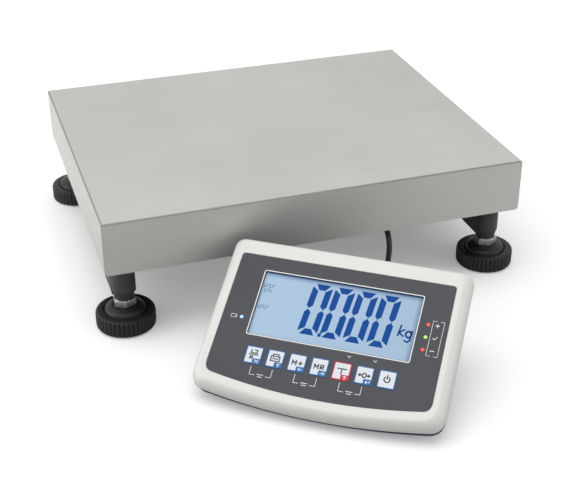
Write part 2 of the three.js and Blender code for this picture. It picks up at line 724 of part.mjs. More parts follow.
function keys(group) {
  const x = KEY_WIDTH / 2;
  const y = KEY_HEIGHT / 2;
  const under = -SHELL_WALL - GAP;
  keyCentres().forEach((u, i) => {
    const cap = block(u - x, u + x, KEY_V - y, KEY_V + y, under - KEY_FLANGE, KEY_PROUD);
    const flange = block(u - x - 1, u + x + 1, KEY_V - y - 1, KEY_V + y + 1, under - KEY_FLANGE, under);
    group.add(piece(`key_${i + 1}`, join(cap, flange), i === 4 ? 'key_red' : 'key_blue'));
  });
}

function lamps(group) {
  const under = -SHELL_WALL - GAP;
  const lens = (u, v) => barZ(u, v, LAMP_RADIUS, LAMP_RADIUS, under - 1, GAP, 12);
  const reach = LAMP_PITCH + 3;
  const strip = block(LAMP_U - 3, LAMP_U + 3, LAMP_V - reach, LAMP_V + reach, under - 1, under);
  const single = block(-LAMP_U - 3, -LAMP_U + 3, CHARGE_LAMP_V - 3, CHARGE_LAMP_V + 3, under - 1, under);
  group.add(piece('tolerance_lamps', join(strip, ...lampCentres().map((v) => lens(LAMP_U, v))), 'lamp'));
  group.add(piece('charge_lamp', join(single, lens(-LAMP_U, CHARGE_LAMP_V)), 'lamp'));
}

function electronics(group) {
  const half = FACE_HALF_TOP - LOWER_SHELL_INSET - SHELL_WALL - BOARD_SIDE_GAP;
  const front = FACE_CORNER + BOARD_END_GAP;
  const back = FACE_TOP - BOARD_END_GAP;
  const board = block(-half, half, front, back, BOARD_W - BOARD_THICKNESS, BOARD_W);
  const floor = SHELL_REAR_W + SHELL_WALL + BATTERY_FLOOR_GAP;
  group.add(piece('circuit_board', board, 'board'));
  group.add(piece('battery', block(-60, 30, -20, 8, floor, floor + BATTERY_HEIGHT), 'battery'));
}

// A panel-mount connector with the cable's strain relief on it, about the w axis.
function cablePlug() {
  const body = turned([
    [0, -PLUG_OUT],
    [CABLE_RADIUS + 1, -PLUG_OUT],
    [CABLE_RADIUS + 2.6, -10],
    [GLAND_RADIUS - 1, -8],
    [GLAND_RADIUS - 1, -3],
    [GLAND_FLANGE, -3],
    [GLAND_FLANGE, -GAP],
    [GLAND_RADIUS, -GAP],
    [GLAND_RADIUS, SHELL_WALL + 6],
    [0, SHELL_WALL + 6],
  ], 20);
  const plug = piece('cable_plug', body, 'black_plastic');
  plug.position.set(PLUG_U, PLUG_V, SHELL_REAR_W);
  return plug;
}

function powerInlet() {
  const body = turned([
    [0, 2],
    [2.8, 2],
    [2.8, -1.5],
    [INLET_RADIUS + 2, -1.5],
    [INLET_RADIUS + 2, -GAP],
    [INLET_RADIUS, -GAP],
    [INLET_RADIUS, 12],
    [0, 12],
  ], 20);
  const inlet = piece('power_inlet', body, 'black_plastic');
  inlet.position.set(INLET_U, PLUG_V, SHELL_REAR_W);
  return inlet;
}

// A point of the face frame's (v, w) plane in the desk frame: [back, up].
function onDesk(v, w) {
  const back = v * Math.cos(DISPLAY_TILT) - w * Math.sin(DISPLAY_TILT);
  const up = DISPLAY_Z + v * Math.sin(DISPLAY_TILT) + w * Math.cos(DISPLAY_TILT);
  return [back, up];
}

function deskStand() {
  const [hingeBack, hingeUp] = onDesk(HINGE_V, HINGE_W);
  const footBack = hingeBack + STAND_FOOT_BACK;
  const length = Math.hypot(STAND_FOOT_BACK, hingeUp);
  const along = [STAND_FOOT_BACK / length, -hingeUp / length];
  const half = STAND_SHEET / 2;
  const at = (distance, offset) => [
    hingeBack + along[0] * distance - along[1] * offset,
    hingeUp + along[1] * distance + along[0] * offset,
  ];
  const end = length - 0.5;
  const plate = sidePrism([at(9, -half), at(end, -half), at(end, half), at(9, half)], KNUCKLE_TO);
  const lip = sidePrism([
    [footBack - half, 0], [footBack + STAND_LIP, 0],
    [footBack + STAND_LIP, STAND_SHEET], [footBack - half, STAND_SHEET],
  ], KNUCKLE_TO);
  const notch = sidePrism([
    at(STAND_NOTCH_START, -20), at(length + 20, -20), at(length + 20, 30), at(STAND_NOTCH_START, 30),
  ], STAND_NOTCH_HALF);
  const below = block(-100, 100, footBack - 60, footBack + 60, -20, 0);
  const neck = sidePrism([at(0, -half), at(10, -half), at(10, half), at(0, half)], KNUCKLE_TO);
  const knuckle = barX(hingeBack, hingeUp, KNUCKLE_RADIUS, -KNUCKLE_TO, KNUCKLE_TO);
  const between = block(
    -KNUCKLE_FROM, KNUCKLE_FROM, hingeBack - 20, hingeBack + 20, hingeUp - 8.6, hingeUp + 20,
  );
  const bore = barX(hingeBack, hingeUp, HINGE_PIN_RADIUS + GAP, -KNUCKLE_TO - 1, KNUCKLE_TO + 1);
  const ends = cut(join(neck, knuckle), between);
  const stand = cut(join(plate, lip, ends), notch, below, bore);
  return piece('desk_stand', stand, 'frame_paint');
}

// A prism along u, both ways from the middle, from corners of [back, up].
function sidePrism(corners, half) {
  const shape = new THREE.Shape(corners.map(([back, up]) => new THREE.Vector2(back, up)));
  const body = new THREE.ExtrudeGeometry(shape, { depth: 2 * half, bevelEnabled: false });
  body.translate(0, 0, -half);
  const turn = new THREE.Matrix4().makeBasis(
    new THREE.Vector3(0, 1, 0),
    new THREE.Vector3(0, 0, 1),
    new THREE.Vector3(1, 0, 0),
  );
  body.applyMatrix4(turn);
  return toSolid(body);
}

function hingePin() {
  const [back, up] = onDesk(HINGE_V, HINGE_W);
  const pin = barX(back, up, HINGE_PIN_RADIUS, -HINGE_PIN_HALF, HINGE_PIN_HALF, 16);
  return piece('stand_hinge_pin', pin, 'zinc');
}

// A pad from the desk up to the housing's sloping underside.
function frontPad() {
  const [lowBack, lowUp] = onDesk(FACE_BOTTOM, -SHELL_FRONT_DEPTH);
  const [highBack, highUp] = onDesk(WEDGE_START, -SHELL_BACK);
  const slope = (highUp - lowUp) / (highBack - lowBack);
  const front = lowBack + PAD_SETBACK;
  const height = lowUp + slope * PAD_SETBACK - GAP;
  const pad = block(-PAD_HALF, PAD_HALF, front, front + PAD_WIDTH, 0, height);
  return piece('display_front_pad', pad, 'rubber');
}

// ---- assembly -----------------------------------------------------------

function buildPlatform() {
  const platform = new THREE.Group();
  platform.add(weighingPlate());
  bumpers(platform);
  carrier(platform);
  loadCell(platform);
  lowerFrame(platform);
  overloadStops(platform);
  levellingFeet(platform);
  platform.add(bubbleLevel());
  platform.add(cableGland());
  return platform;
}

function buildHousing() {
  const housing = new THREE.Group();
  housing.add(topShell());
  housing.add(bottomShell());
  housing.add(facePanel());
  housing.add(screen());
  keys(housing);
  lamps(housing);
  electronics(housing);
  housing.add(cablePlug());
  housing.add(powerInlet());
  housing.rotation.x = DISPLAY_TILT;
  housing.position.z = DISPLAY_Z;
  return housing;
}

// The desk frame: its origin is on the bench below the face centre.
function deskFrame(...children) {
  const desk = new THREE.Group();
  desk.rotation.z = DISPLAY_YAW;
  desk.position.set(DISPLAY_X, DISPLAY_Y, 0);
  desk.add(...children);
  return desk;
}

const object = new THREE.Group();
object.add(buildPlatform());
object.add(deskFrame(buildHousing(), deskStand(), hingePin(), frontPad()));
object.updateMatrixWorld(true);
const footprint = new THREE.Box3().setFromObject(object, true);

object.add(cableRun('cable_platform_run', PLATFORM_RUN, 20));
object.add(deskFrame(cableCoil(), cableRun('cable_display_run', DISPLAY_RUN, 14)));

// The origin is the middle of the footprint, on the bench.
object.position.set(
  -(footprint.min.x + footprint.max.x) / 2,
  -(footprint.min.y + footprint.max.y) / 2,
  -footprint.min.z,
);

export default object;
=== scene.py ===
import math

import bmesh
import bpy
from mathutils import Matrix, Vector


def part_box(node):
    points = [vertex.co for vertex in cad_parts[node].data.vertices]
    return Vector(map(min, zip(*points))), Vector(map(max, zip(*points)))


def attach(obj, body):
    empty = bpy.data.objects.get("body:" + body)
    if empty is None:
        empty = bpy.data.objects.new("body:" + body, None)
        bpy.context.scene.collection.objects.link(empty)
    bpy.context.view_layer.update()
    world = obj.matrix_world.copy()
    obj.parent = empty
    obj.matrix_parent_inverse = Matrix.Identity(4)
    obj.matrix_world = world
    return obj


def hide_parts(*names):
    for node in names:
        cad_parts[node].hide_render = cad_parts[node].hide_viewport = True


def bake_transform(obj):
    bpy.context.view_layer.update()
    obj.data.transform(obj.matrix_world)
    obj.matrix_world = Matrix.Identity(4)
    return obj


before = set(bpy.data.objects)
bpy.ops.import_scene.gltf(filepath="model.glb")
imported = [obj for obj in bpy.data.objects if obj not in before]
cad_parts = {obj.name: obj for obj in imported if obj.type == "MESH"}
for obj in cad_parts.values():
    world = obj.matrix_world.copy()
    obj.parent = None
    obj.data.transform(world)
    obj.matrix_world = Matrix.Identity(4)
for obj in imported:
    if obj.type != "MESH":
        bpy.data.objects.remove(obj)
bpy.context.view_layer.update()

# ---- where things are ----------------------------------------------------

MM = 0.001
plate_low, plate_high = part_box("weighing_plate")
PLATE_CENTRE = (plate_low + plate_high) / 2
PLATE_LENGTH = plate_high.x - plate_low.x
PLATE_WIDTH = plate_high.y - plate_low.y
PLATE_TOP = plate_high.z
SKIRT_FOOT = plate_low.z

DISPLAY_YAW = math.radians(-36.2)
DISPLAY_TILT = math.radians(31.6)
DISPLAY_X, DISPLAY_Y, DISPLAY_Z = -37.2, -346.2, 80.3

CORNERS = ("front_left", "front_right", "rear_left", "rear_right")


def at_platform(x, y, z):
    """A point in millimetres from the floor under the plate's middle, as metres in the shared frame."""
    return Vector((PLATE_CENTRE.x + x * MM, PLATE_CENTRE.y + y * MM, z * MM))


def moved(x, y, z=0):
    """A shift given in millimetres."""
    return Matrix.Translation(Vector((x, y, z)) * MM)


platform_frame = Matrix.Translation(at_platform(0, 0, 0))
desk_frame = Matrix.Translation(at_platform(DISPLAY_X, DISPLAY_Y, 0)) @ Matrix.Rotation(DISPLAY_YAW, 4, "Z")
face_frame = desk_frame @ moved(0, 0, DISPLAY_Z) @ Matrix.Rotation(DISPLAY_TILT, 4, "X")

# ---- camera --------------------------------------------------------------

CAMERA_HEADING, CAMERA_DIP, CAMERA_ROLL = 0.31124, 0.51149, -0.0053
CAMERA_LENS, CAMERA_SENSOR = 74.158, 36
CAMERA_X, CAMERA_Y, CAMERA_OVER_PLATE = -399.18, -1305.31, 597.23


def place_camera():
    """The camera, in millimetres from the plate, turned by its heading, dip and roll in radians."""
    sideways, ahead = math.sin(CAMERA_HEADING), math.cos(CAMERA_HEADING)
    forward = Vector((sideways * math.cos(CAMERA_DIP), ahead * math.cos(CAMERA_DIP), -math.sin(CAMERA_DIP)))
    level = Vector((ahead, -sideways, 0))
    upright = level.cross(forward)
    right = math.cos(CAMERA_ROLL) * level + math.sin(CAMERA_ROLL) * upright
    up = -math.sin(CAMERA_ROLL) * level + math.cos(CAMERA_ROLL) * upright
    data = bpy.data.cameras.new("camera")
    data.lens = CAMERA_LENS
    data.sensor_width = CAMERA_SENSOR
    camera = bpy.data.objects.new("camera", data)
    turn = Matrix((right, up, -forward)).transposed().to_4x4()
    height = PLATE_TOP / MM + CAMERA_OVER_PLATE
    camera.matrix_world = Matrix.Translation(at_platform(CAMERA_X, CAMERA_Y, height)) @ turn
    bpy.context.collection.objects.link(camera)
    bpy.context.scene.camera = camera


# ---- finishes ------------------------------------------------------------


def srgb(red, green, blue):
    """A colour read as 0 to 255 on a screen, as linear light."""
    def linear(v):
        v /= 255
        return v / 12.92 if v <= 0.04045 else ((v + 0.055) / 1.055) ** 2.4
    return (linear(red), linear(green), linear(blue), 1)


def new_group(name, inputs, outputs):
    """An empty shader group. Each input is a (name, type, default), each output a (name, type)."""
    group = bpy.data.node_groups.new(name, "ShaderNodeTree")
    for label, kind, value in inputs:
        socket = group.interface.new_socket(label, in_out="INPUT", socket_type=kind)
        socket.default_value = value
    for label, kind in outputs:
        group.interface.new_socket(label, in_out="OUTPUT", socket_type=kind)
    return group, group.nodes.new("NodeGroupInput"), group.nodes.new("NodeGroupOutput")


def feed(tree, socket, value):
    """Sets a socket, or links it to another node's output."""
    if hasattr(value, "is_output"):
        tree.links.new(value, socket)
    else:
        socket.default_value = value


def math_node(tree, kind, *values):
    node = tree.nodes.new("ShaderNodeMath")
    node.operation = kind
    for socket, value in zip(node.inputs, values):
        feed(tree, socket, value)
    return node.outputs[0]


def plus(tree, first, second):
    return math_node(tree, "ADD", first, second)


def times(tree, first, second):
    return math_node(tree, "MULTIPLY", first, second)


def ramp(tree, value, low, high, to_low, to_high):
    """Maps the value from one range to another and holds it at both ends."""
    node = tree.nodes.new("ShaderNodeMapRange")
    for socket, given in zip(node.inputs, (value, low, high, to_low, to_high)):
        feed(tree, socket, given)
    return node.outputs[0]


def noise(tree, vector, scale, detail=3.0, roughness=0.5):
    node = tree.nodes.new("ShaderNodeTexNoise")
    settings = {"Vector": vector, "Scale": scale, "Detail": detail, "Roughness": roughness}
    for label, value in settings.items():
        feed(tree, node.inputs[label], value)
    return node.outputs["Fac"]


def mix_colour(tree, factor, first, second):
    node = tree.nodes.new("ShaderNodeMix")
    node.data_type = "RGBA"
    for index, value in ((0, factor), (6, first), (7, second)):
        feed(tree, node.inputs[index], value)
    return node.outputs[2]


def scaled(tree, colour, factor):
    node = tree.nodes.new("ShaderNodeVectorMath")
    node.operation = "SCALE"
    feed(tree, node.inputs[0], colour)
    feed(tree, node.inputs["Scale"], factor)
    return node.outputs[0]


def own_place(tree):
    """Where a point lies on its piece, in metres."""
    return tree.nodes.new("ShaderNodeTexCoord").outputs["Object"]


def parts(tree, vector):
    """The x, y and z of a vector."""
    node = tree.nodes.new("ShaderNodeSeparateXYZ")
    tree.links.new(vector, node.inputs[0])
    return node.outputs


def facing(tree):
    """The x, y and z of the way that the surface faces."""
    return parts(tree, tree.nodes.new("ShaderNodeNewGeometry").outputs["Normal"])


def build_grain_group():
    """Fine moulded or sprayed grain with soft patches of handling over it."""
    group, start, end = new_group(
        "surface_grain",
        (
            ("Colour", "NodeSocketColor", (0.5, 0.5, 0.5, 1)),
            ("Grain scale", "NodeSocketFloat", 900.0),
            ("Patch scale", "NodeSocketFloat", 14.0),
            ("Contrast", "NodeSocketFloat", 0.06),
        ),
        (("Colour", "NodeSocketColor"), ("Height", "NodeSocketFloat"), ("Patch", "NodeSocketFloat")),
    )
    where = own_place(group)
    grain = noise(group, where, start.outputs["Grain scale"], 2.0, 0.6)
    patch = noise(group, where, start.outputs["Patch scale"], 4.0, 0.55)
    both = plus(group, times(group, grain, 0.35), times(group, patch, 0.65))
    shift = times(group, math_node(group, "SUBTRACT", both, 0.5), start.outputs["Contrast"])
    tone = plus(group, times(group, shift, 2.0), 1.0)
    group.links.new(scaled(group, start.outputs["Colour"], tone), end.inputs["Colour"])
    group.links.new(grain, end.inputs["Height"])
    group.links.new(patch, end.inputs["Patch"])
    return group


def build_brush_group():
    """Fine brushing lines that run the long way of each face of a folded sheet."""
    group, start, end = new_group(
        "brushed_lines",
        (("Along", "NodeSocketFloat", 5.0), ("Across", "NodeSocketFloat", 900.0)),
        (("Lines", "NodeSocketFloat"), ("Cloud", "NodeSocketFloat")),
    )
    where = own_place(group)
    place = parts(group, where)
    sideways = math_node(group, "GREATER_THAN", math_node(group, "ABSOLUTE", facing(group)[0]), 0.6)
    onward = math_node(group, "SUBTRACT", 1.0, sideways)
    along, across = start.outputs["Along"], start.outputs["Across"]
    x_scale = plus(group, times(group, onward, along), times(group, sideways, across))
    y_scale = plus(group, times(group, sideways, along), times(group, onward, across))
    joined = group.nodes.new("ShaderNodeCombineXYZ")
    for value, factor, socket in zip(place, (x_scale, y_scale, across), joined.inputs):
        group.links.new(times(group, value, factor), socket)
    group.links.new(noise(group, joined.outputs[0], 1.0, 4.0, 0.65), end.inputs["Lines"])
    group.links.new(noise(group, where, 5.0, 3.0, 0.5), end.inputs["Cloud"])
    return group


GRAIN = build_grain_group()
BRUSH = build_brush_group()


def new_material(name, roughness, metallic=0.0, coat=0.0, specular=0.5):
    material = bpy.data.materials.new(name)
    material.use_nodes = True
    tree = material.node_tree
    shader = tree.nodes["Principled BSDF"]
    settings = {"Roughness": roughness, "Metallic": metallic}
    settings |= {"Coat Weight": coat, "Specular IOR Level": specular}
    for label, value in settings.items():
        shader.inputs[label].default_value = value
    return material, tree, shader


def bump(tree, shader, height, distance):
    node = tree.nodes.new("ShaderNodeBump")
    node.inputs["Distance"].default_value = distance
    node.inputs["Strength"].default_value = 1.0
    tree.links.new(height, node.inputs["Height"])
    tree.links.new(node.outputs[0], shader.inputs["Normal"])


def light_up(tree, shader, colour, strength):
    tree.links.new(colour, shader.inputs["Emission Color"])
    shader.inputs["Emission Strength"].default_value = strength


def use_group(tree, shared, settings):
    """A shared group in a material, with its settings."""
    group = tree.nodes.new("ShaderNodeGroup")
    group.node_tree = shared
    for label, value in settings.items():
        group.inputs[label].default_value = value
    return group.outputs


def grained(
    name, colour, roughness, grain, contrast, patch=14.0, depth=0.00002, glow=0.0, specular=0.5, coat=0.0,
):
    """A moulded, sprayed or printed finish: its own colour, grain and patches."""
    material, tree, shader = new_material(name, roughness, coat=coat, specular=specular)
    settings = {"Colour": colour, "Grain scale": grain, "Patch scale": patch, "Contrast": contrast}
    surface = use_group(tree, GRAIN, settings)
    tree.links.new(surface["Colour"], shader.inputs["Base Color"])
    spread = 0.06
    rough = ramp(tree, surface["Patch"], 0.3, 0.7, roughness - spread, roughness + spread)
    tree.links.new(rough, shader.inputs["Roughness"])
    bump(tree, shader, surface["Height"], depth)
    if glow:
        light_up(tree, shader, surface["Colour"], glow)
    return material


def printed(name, colour, roughness=0.45, contrast=0.06, grain=2600.0, **more):
    """Ink or film on the face: the finest grain, with hardly any relief."""
    return grained(name, colour, roughness, grain, contrast, depth=0.000005, **more)


def painted_fold_shade(tree, shade):
    """Painted shade along the folds: darkens the metal's colour where it turns from one flat face to the
    next.
    """
    up = facing(tree)[2]
    onto = ramp(tree, up, 0.1, 0.35, 1.0, shade)
    off = ramp(tree, up, 0.93, 0.995, 0.0, 1.0 - shade)
    return plus(tree, onto, off)


def brushed(name, light, dark, roughness, along=5.0, across=900.0, metallic=1.0, fold_shade=0.0):
    """Brushed or drawn metal: lines in colour, gloss and relief, and soft clouds."""
    material, tree, shader = new_material(name, roughness, metallic)
    surface = use_group(tree, BRUSH, {"Along": along, "Across": across})
    lines = ramp(tree, surface["Lines"], 0.3, 0.7, 0.0, 1.0)
    tone = mix_colour(tree, lines, dark, light)
    cloud = ramp(tree, surface["Cloud"], 0.3, 0.7, 0.96, 1.04)
    # fold_shade paints shade into the colour along the rounded folds of the sheet.
    if fold_shade:
        cloud = times(tree, cloud, painted_fold_shade(tree, fold_shade))
    tree.links.new(scaled(tree, tone, cloud), shader.inputs["Base Color"])
    both = plus(tree, times(tree, surface["Lines"], 0.16), times(tree, surface["Cloud"], 0.08))
    tree.links.new(plus(tree, both, roughness - 0.12), shader.inputs["Roughness"])
    bump(tree, shader, surface["Lines"], 0.000004)
    return material


def screen_material():
    """The lit back of the screen: pale blue, with painted shade of its frame at the top, the right and the
    left edge.
    """
    material, tree, shader = new_material("screen_backlight", 0.25, coat=0.3)
    where = own_place(tree)
    across, upward, _ = parts(tree, where)
    half_width, half_height, shade = 0.086, 0.03725, 0.006
    # Painted shade of the frame: darker bands at the top, the right and the left edge.
    top = ramp(tree, upward, half_height - shade, half_height, 1.0, 0.0)
    right = ramp(tree, across, half_width - shade, half_width, 1.0, 0.1)
    left = ramp(tree, across, -half_width, -half_width + shade * 0.5, 0.4, 1.0)
    lit = times(tree, times(tree, top, right), left)
    # The darker blue is the colour of the painted shade.
    glow = mix_colour(tree, lit, srgb(92, 128, 172), srgb(166, 198, 226))
    # The colour also gets darker towards the right.
    fade = ramp(tree, across, -half_width, half_width, 1.02, 0.92)
    speckle = ramp(tree, noise(tree, where, 700.0, 2.0), 0.3, 0.7, 0.985, 1.015)
    colour = scaled(tree, glow, times(tree, fade, speckle))
    tree.links.new(scaled(tree, colour, 0.5), shader.inputs["Base Color"])
    light_up(tree, shader, colour, 0.38)
    return material


def lamp_material(name, core, edge, strength=0.8):
    """A small lit lens: bright in its middle, its own colour at the rim."""
    material, tree, shader = new_material(name, 0.25, coat=0.4)
    flat = tree.nodes.new("ShaderNodeVectorMath")
    flat.operation = "MULTIPLY"
    flat.inputs[1].default_value = (1, 1, 0)
    tree.links.new(own_place(tree), flat.inputs[0])
    length = tree.nodes.new("ShaderNodeVectorMath")
    length.operation = "LENGTH"
    tree.links.new(flat.outputs[0], length.inputs[0])
    rim = ramp(tree, length.outputs["Value"], 0.0, LENS_RADIUS * MM, 0.0, 1.0)
    colour = mix_colour(tree, rim, core, edge)
    tree.links.new(colour, shader.inputs["Base Color"])
    light_up(tree, shader, colour, strength)
    return material


def liquid_material():
    """The clear yellow-green filling of the bubble level."""
    material, tree, shader = new_material("level_liquid", 0.08, coat=0.6)
    tint = mix_colour(tree, noise(tree, own_place(tree), 60.0), srgb(150, 205, 40), srgb(205, 235, 90))
    tree.links.new(tint, shader.inputs["Base Color"])
    return material


LENS_RADIUS = 2.0
FINISH = {
    # The plate's finish has painted shade in its colour along the folds (fold_shade).
    "plate": brushed(
        "plate_stainless", srgb(222, 220, 214), srgb(213, 211, 205), 0.5, metallic=0.72, fold_shade=0.5,
    ),
    "zinc": brushed("zinc_plate", srgb(205, 207, 205), srgb(165, 168, 165), 0.36, 200.0, 600.0),
    "aluminium": brushed("milled_aluminium", srgb(208, 210, 213), srgb(184, 186, 189), 0.38, 60.0),
    "paint": grained("frame_powder_coat", srgb(62, 67, 64), 0.5, 1400.0, 0.12, depth=0.00006),
    "foot": grained("foot_plastic", srgb(32, 32, 33), 0.42, 1200.0, 0.15, depth=0.00003),
    "rubber": grained("rubber", srgb(34, 34, 34), 0.8, 1800.0, 0.2, depth=0.00004),
    "cable": grained("cable_jacket", srgb(58, 59, 58), 0.5, 1500.0, 0.12, 60.0),
    "shell": grained("white_shell", srgb(229, 229, 223), 0.34, 1600.0, 0.03, depth=0.00003),
    "navy": grained("navy_shell", srgb(40, 45, 92), 0.42, 1600.0, 0.1, depth=0.00003),
    "black": grained("black_moulding", srgb(30, 30, 31), 0.45, 1500.0, 0.15),
    "board": grained("solder_mask", srgb(31, 90, 54), 0.35, 400.0, 0.3, 80.0, coat=0.4),
    "wrap": grained("battery_wrap", srgb(47, 59, 82), 0.35, 600.0, 0.15, 30.0),
    "film": grained(
        "overlay_film", srgb(74, 75, 80), 0.5, 2600.0, 0.05, depth=0.00001, specular=0.35,
    ),
    "print": printed("white_print", srgb(240, 241, 240), 0.5, 0.03),
    "blue": printed("blue_print", srgb(0, 104, 172)),
    "red": printed("red_print", srgb(206, 20, 52)),
    "dark_print": printed("dark_print", srgb(46, 48, 60), 0.5, 0.08),
    "key": printed("key_cap", srgb(226, 231, 236), 0.4, 0.03),
    "ink": printed("screen_figure", srgb(0, 72, 150), 0.5, 0.08, 2200.0, glow=0.05, specular=0.15),
    "faint_ink": printed("screen_sign", srgb(58, 98, 160), 0.35, 0.08, 2200.0, glow=0.1),
    "screen": screen_material(),
    "liquid": liquid_material(),
    "red_lamp": lamp_material("red_lamp", srgb(255, 84, 70), srgb(214, 24, 26)),
    "green_lamp": lamp_material("green_lamp", srgb(190, 240, 90), srgb(96, 190, 34)),
    "blue_lamp": lamp_material("blue_lamp", srgb(190, 225, 255), srgb(70, 150, 235), 0.9),
}

# ---- mesh tools ----------------------------------------------------------


class Build:
    """Collects the faces of one piece, in millimetres, and the finish of each."""

    def __init__(self, *finishes):
        self.finishes = finishes
        self.verts = []
        self.faces = []
        self.slots = []

    def add(self, verts, faces, finish=0):
        base = len(self.verts)
        self.verts += [tuple(v) for v in verts]
        self.faces += [tuple(base + i for i in face) for face in faces]
        self.slots += [finish] * len(faces)

    def loft(self, rings, finish=0, closed=False, caps=True):
        """Joins rings of equal length. closed joins the last to the first; caps fills both ends."""
        count = len(rings[0])
        last = len(rings) if closed else len(rings) - 1
        faces = []
        for k in range(last):
            faces += band(k * count, (k + 1) % len(rings) * count, count)
        if caps and not closed:
            faces.append(tuple(reversed(range(count))))
            faces.append(tuple(last * count + i for i in range(count)))
        self.add([p for ring in rings for p in ring], faces, finish)

    def turn(self, profile, sides, centre=(0, 0), finish=0, radius_at=None):
        """A turned form about the vertical, from [radius, height] corners that start and end on the axis."""
        verts = []
        for r, z in profile[1:-1]:
            for i in range(sides):
                a = 2 * math.pi * i / sides
                rr = radius_at(r, z, a) if radius_at else r
                verts.append((centre[0] + rr * math.cos(a), centre[1] + rr * math.sin(a), z))
        low, end = len(verts), len(verts) - sides
        faces = []
        for k in range(0, end, sides):
            faces += band(k, k + sides, sides)
        verts += [(*centre, profile[0][1]), (*centre, profile[-1][1])]
        faces += [(low, (i + 1) % sides, i) for i in range(sides)]
        faces += [(low + 1, end + i, end + (i + 1) % sides) for i in range(sides)]
        self.add(verts, faces, finish)

    def prism(self, outline, low, high, finish=0):
        """A flat form with that outline, counter-clockwise, between two heights."""
        self.loft([[(x, y, low) for x, y in outline], [(x, y, high) for x, y in outline]], finish)

    def pad(self, outline, low, high, edge, finish):
        """A prism whose upper edge is rounded off by that much."""
        rings = [[(x, y, low) for x, y in outline], [(x, y, high - edge) for x, y in outline]]
        for step in (0.3, 0.7, 1.0):
            angle = step * math.pi / 2
            inset = edge * (1 - math.cos(angle))
            rings.append([(x, y, high - edge + edge * math.sin(angle)) for x, y in shrunk(outline, inset)])
        self.loft(rings, finish)

    def stroke(self, points, width, low, high, finish):
        """A line of that width drawn through the points, as one flat strip a piece."""
        for (x0, y0), (x1, y1) in zip(points, points[1:]):
            length = math.hypot(x1 - x0, y1 - y0)
            dx, dy = (x1 - x0) / length * width / 2, (y1 - y0) / length * width / 2
            outline = [
                (x0 - dx + dy, y0 - dy - dx), (x1 + dx + dy, y1 + dy - dx),
                (x1 + dx - dy, y1 + dy + dx), (x0 - dx - dy, y0 - dy + dx),
            ]
            self.prism(outline, low, high, finish)

    def block(self, x0, x1, y0, y1, z0, z1, edge):
        """A block with a small chamfer all round."""
        def ring(inset, z):
            a, b, c, d = x0 + inset, x1 - inset, y0 + inset, y1 - inset
            return [(a, c, z), (b, c, z), (b, d, z), (a, d, z)]
        self.loft([ring(edge, z0), ring(0, z0 + edge), ring(0, z1 - edge), ring(edge, z1)])

    def tube(self, points, radius, sides=12):
        """A round bar along a line, without twist. The radius is a number or a rule for the step."""
        line = [Vector(p) for p in points]
        ways = []
        for i in range(len(line)):
            a, b = line[max(i - 1, 0)], line[min(i + 1, len(line) - 1)]
            ways.append((b - a).normalized())
        side = ways[0].orthogonal().normalized()
        rings = []
        for i, (point, way) in enumerate(zip(line, ways)):
            if i:
                side = (ways[i - 1].rotation_difference(way)) @ side
            side = (side - way * side.dot(way)).normalized()
            over = way.cross(side)
            r = radius(i) if callable(radius) else radius
            ring = []
            for k in range(sides):
                turn = 2 * math.pi * k / sides
                ring.append(tuple(point + r * (math.cos(turn) * side + math.sin(turn) * over)))
            rings.append(ring)
        self.loft(rings)

    def piece(self, name, where, body, replaces=(), smooth=38.0, settled=False):
        """Makes the piece. A settled one has its place in its mesh, so that its box is a true one."""
        mesh = bpy.data.meshes.new(name)
        mesh.from_pydata([(x * MM, y * MM, z * MM) for x, y, z in self.verts], [], self.faces)
        if settled:
            mesh.transform(where)
            where = Matrix.Identity(4)
        for finish in self.finishes:
            mesh.materials.append(FINISH[finish])
        mesh.polygons.foreach_set("material_index", self.slots)
        work = bmesh.new()
        work.from_mesh(mesh)
        bmesh.ops.remove_doubles(work, verts=work.verts, dist=1e-6)
        bmesh.ops.recalc_face_normals(work, faces=work.faces)
        limit = math.radians(smooth)
        for face in work.faces:
            face.smooth = True
        for edge in work.edges:
            edge.smooth = len(edge.link_faces) == 2 and edge.calc_face_angle() < limit
        work.to_mesh(mesh)
        work.free()
        obj = bpy.data.objects.new(name, mesh)
        bpy.context.collection.objects.link(obj)
        obj.matrix_world = where
        weighted = obj.modifiers.new("weighted", "WEIGHTED_NORMAL")
        weighted.keep_sharp = True
        if body:
            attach(obj, body)
        if replaces:
            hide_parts(*replaces)
        return obj


def band(a, b, count):
    """The faces between two rings of that many corners, which start at corners a and b."""
    return [(a + i, a + (i + 1) % count, b + (i + 1) % count, b + i) for i in range(count)]


def shrunk(outline, inset):
    """A convex outline moved inwards by inset, corner by corner."""
    count = len(outline)
    moved = []
    for i in range(count):
        before, here, after = (Vector(outline[(i + k) % count]) for k in (-1, 0, 1))
        a, b = (here - before).normalized(), (after - here).normalized()
        na, nb = Vector((-a.y, a.x)), Vector((-b.y, b.x))
        bisect = (na + nb).normalized()
        moved.append(tuple(here + bisect * (inset / max(bisect.dot(na), 0.3))))
    return moved


def arc_points(cx, cy, radius, first, last, steps):
    """Points on an arc between two angles in degrees. The radius may be a pair, for an oval."""
    across, upward = radius if isinstance(radius, tuple) else (radius, radius)
    angles = [math.radians(first + (last - first) * i / steps) for i in range(steps + 1)]
    return [(cx + across * math.cos(a), cy + upward * math.sin(a)) for a in angles]


def round_box(width, height, radius, steps, centre=(0, 0)):
    """A box with round corners, counter-clockwise."""
    points = []
    for sx, sy, first in ((1, -1, -90), (1, 1, 0), (-1, 1, 90), (-1, -1, 180)):
        cx, cy = centre[0] + sx * (width / 2 - radius), centre[1] + sy * (height / 2 - radius)
        points += arc_points(cx, cy, radius, first, first + 90, steps)
    return points


# ---- platform ------------------------------------------------------------


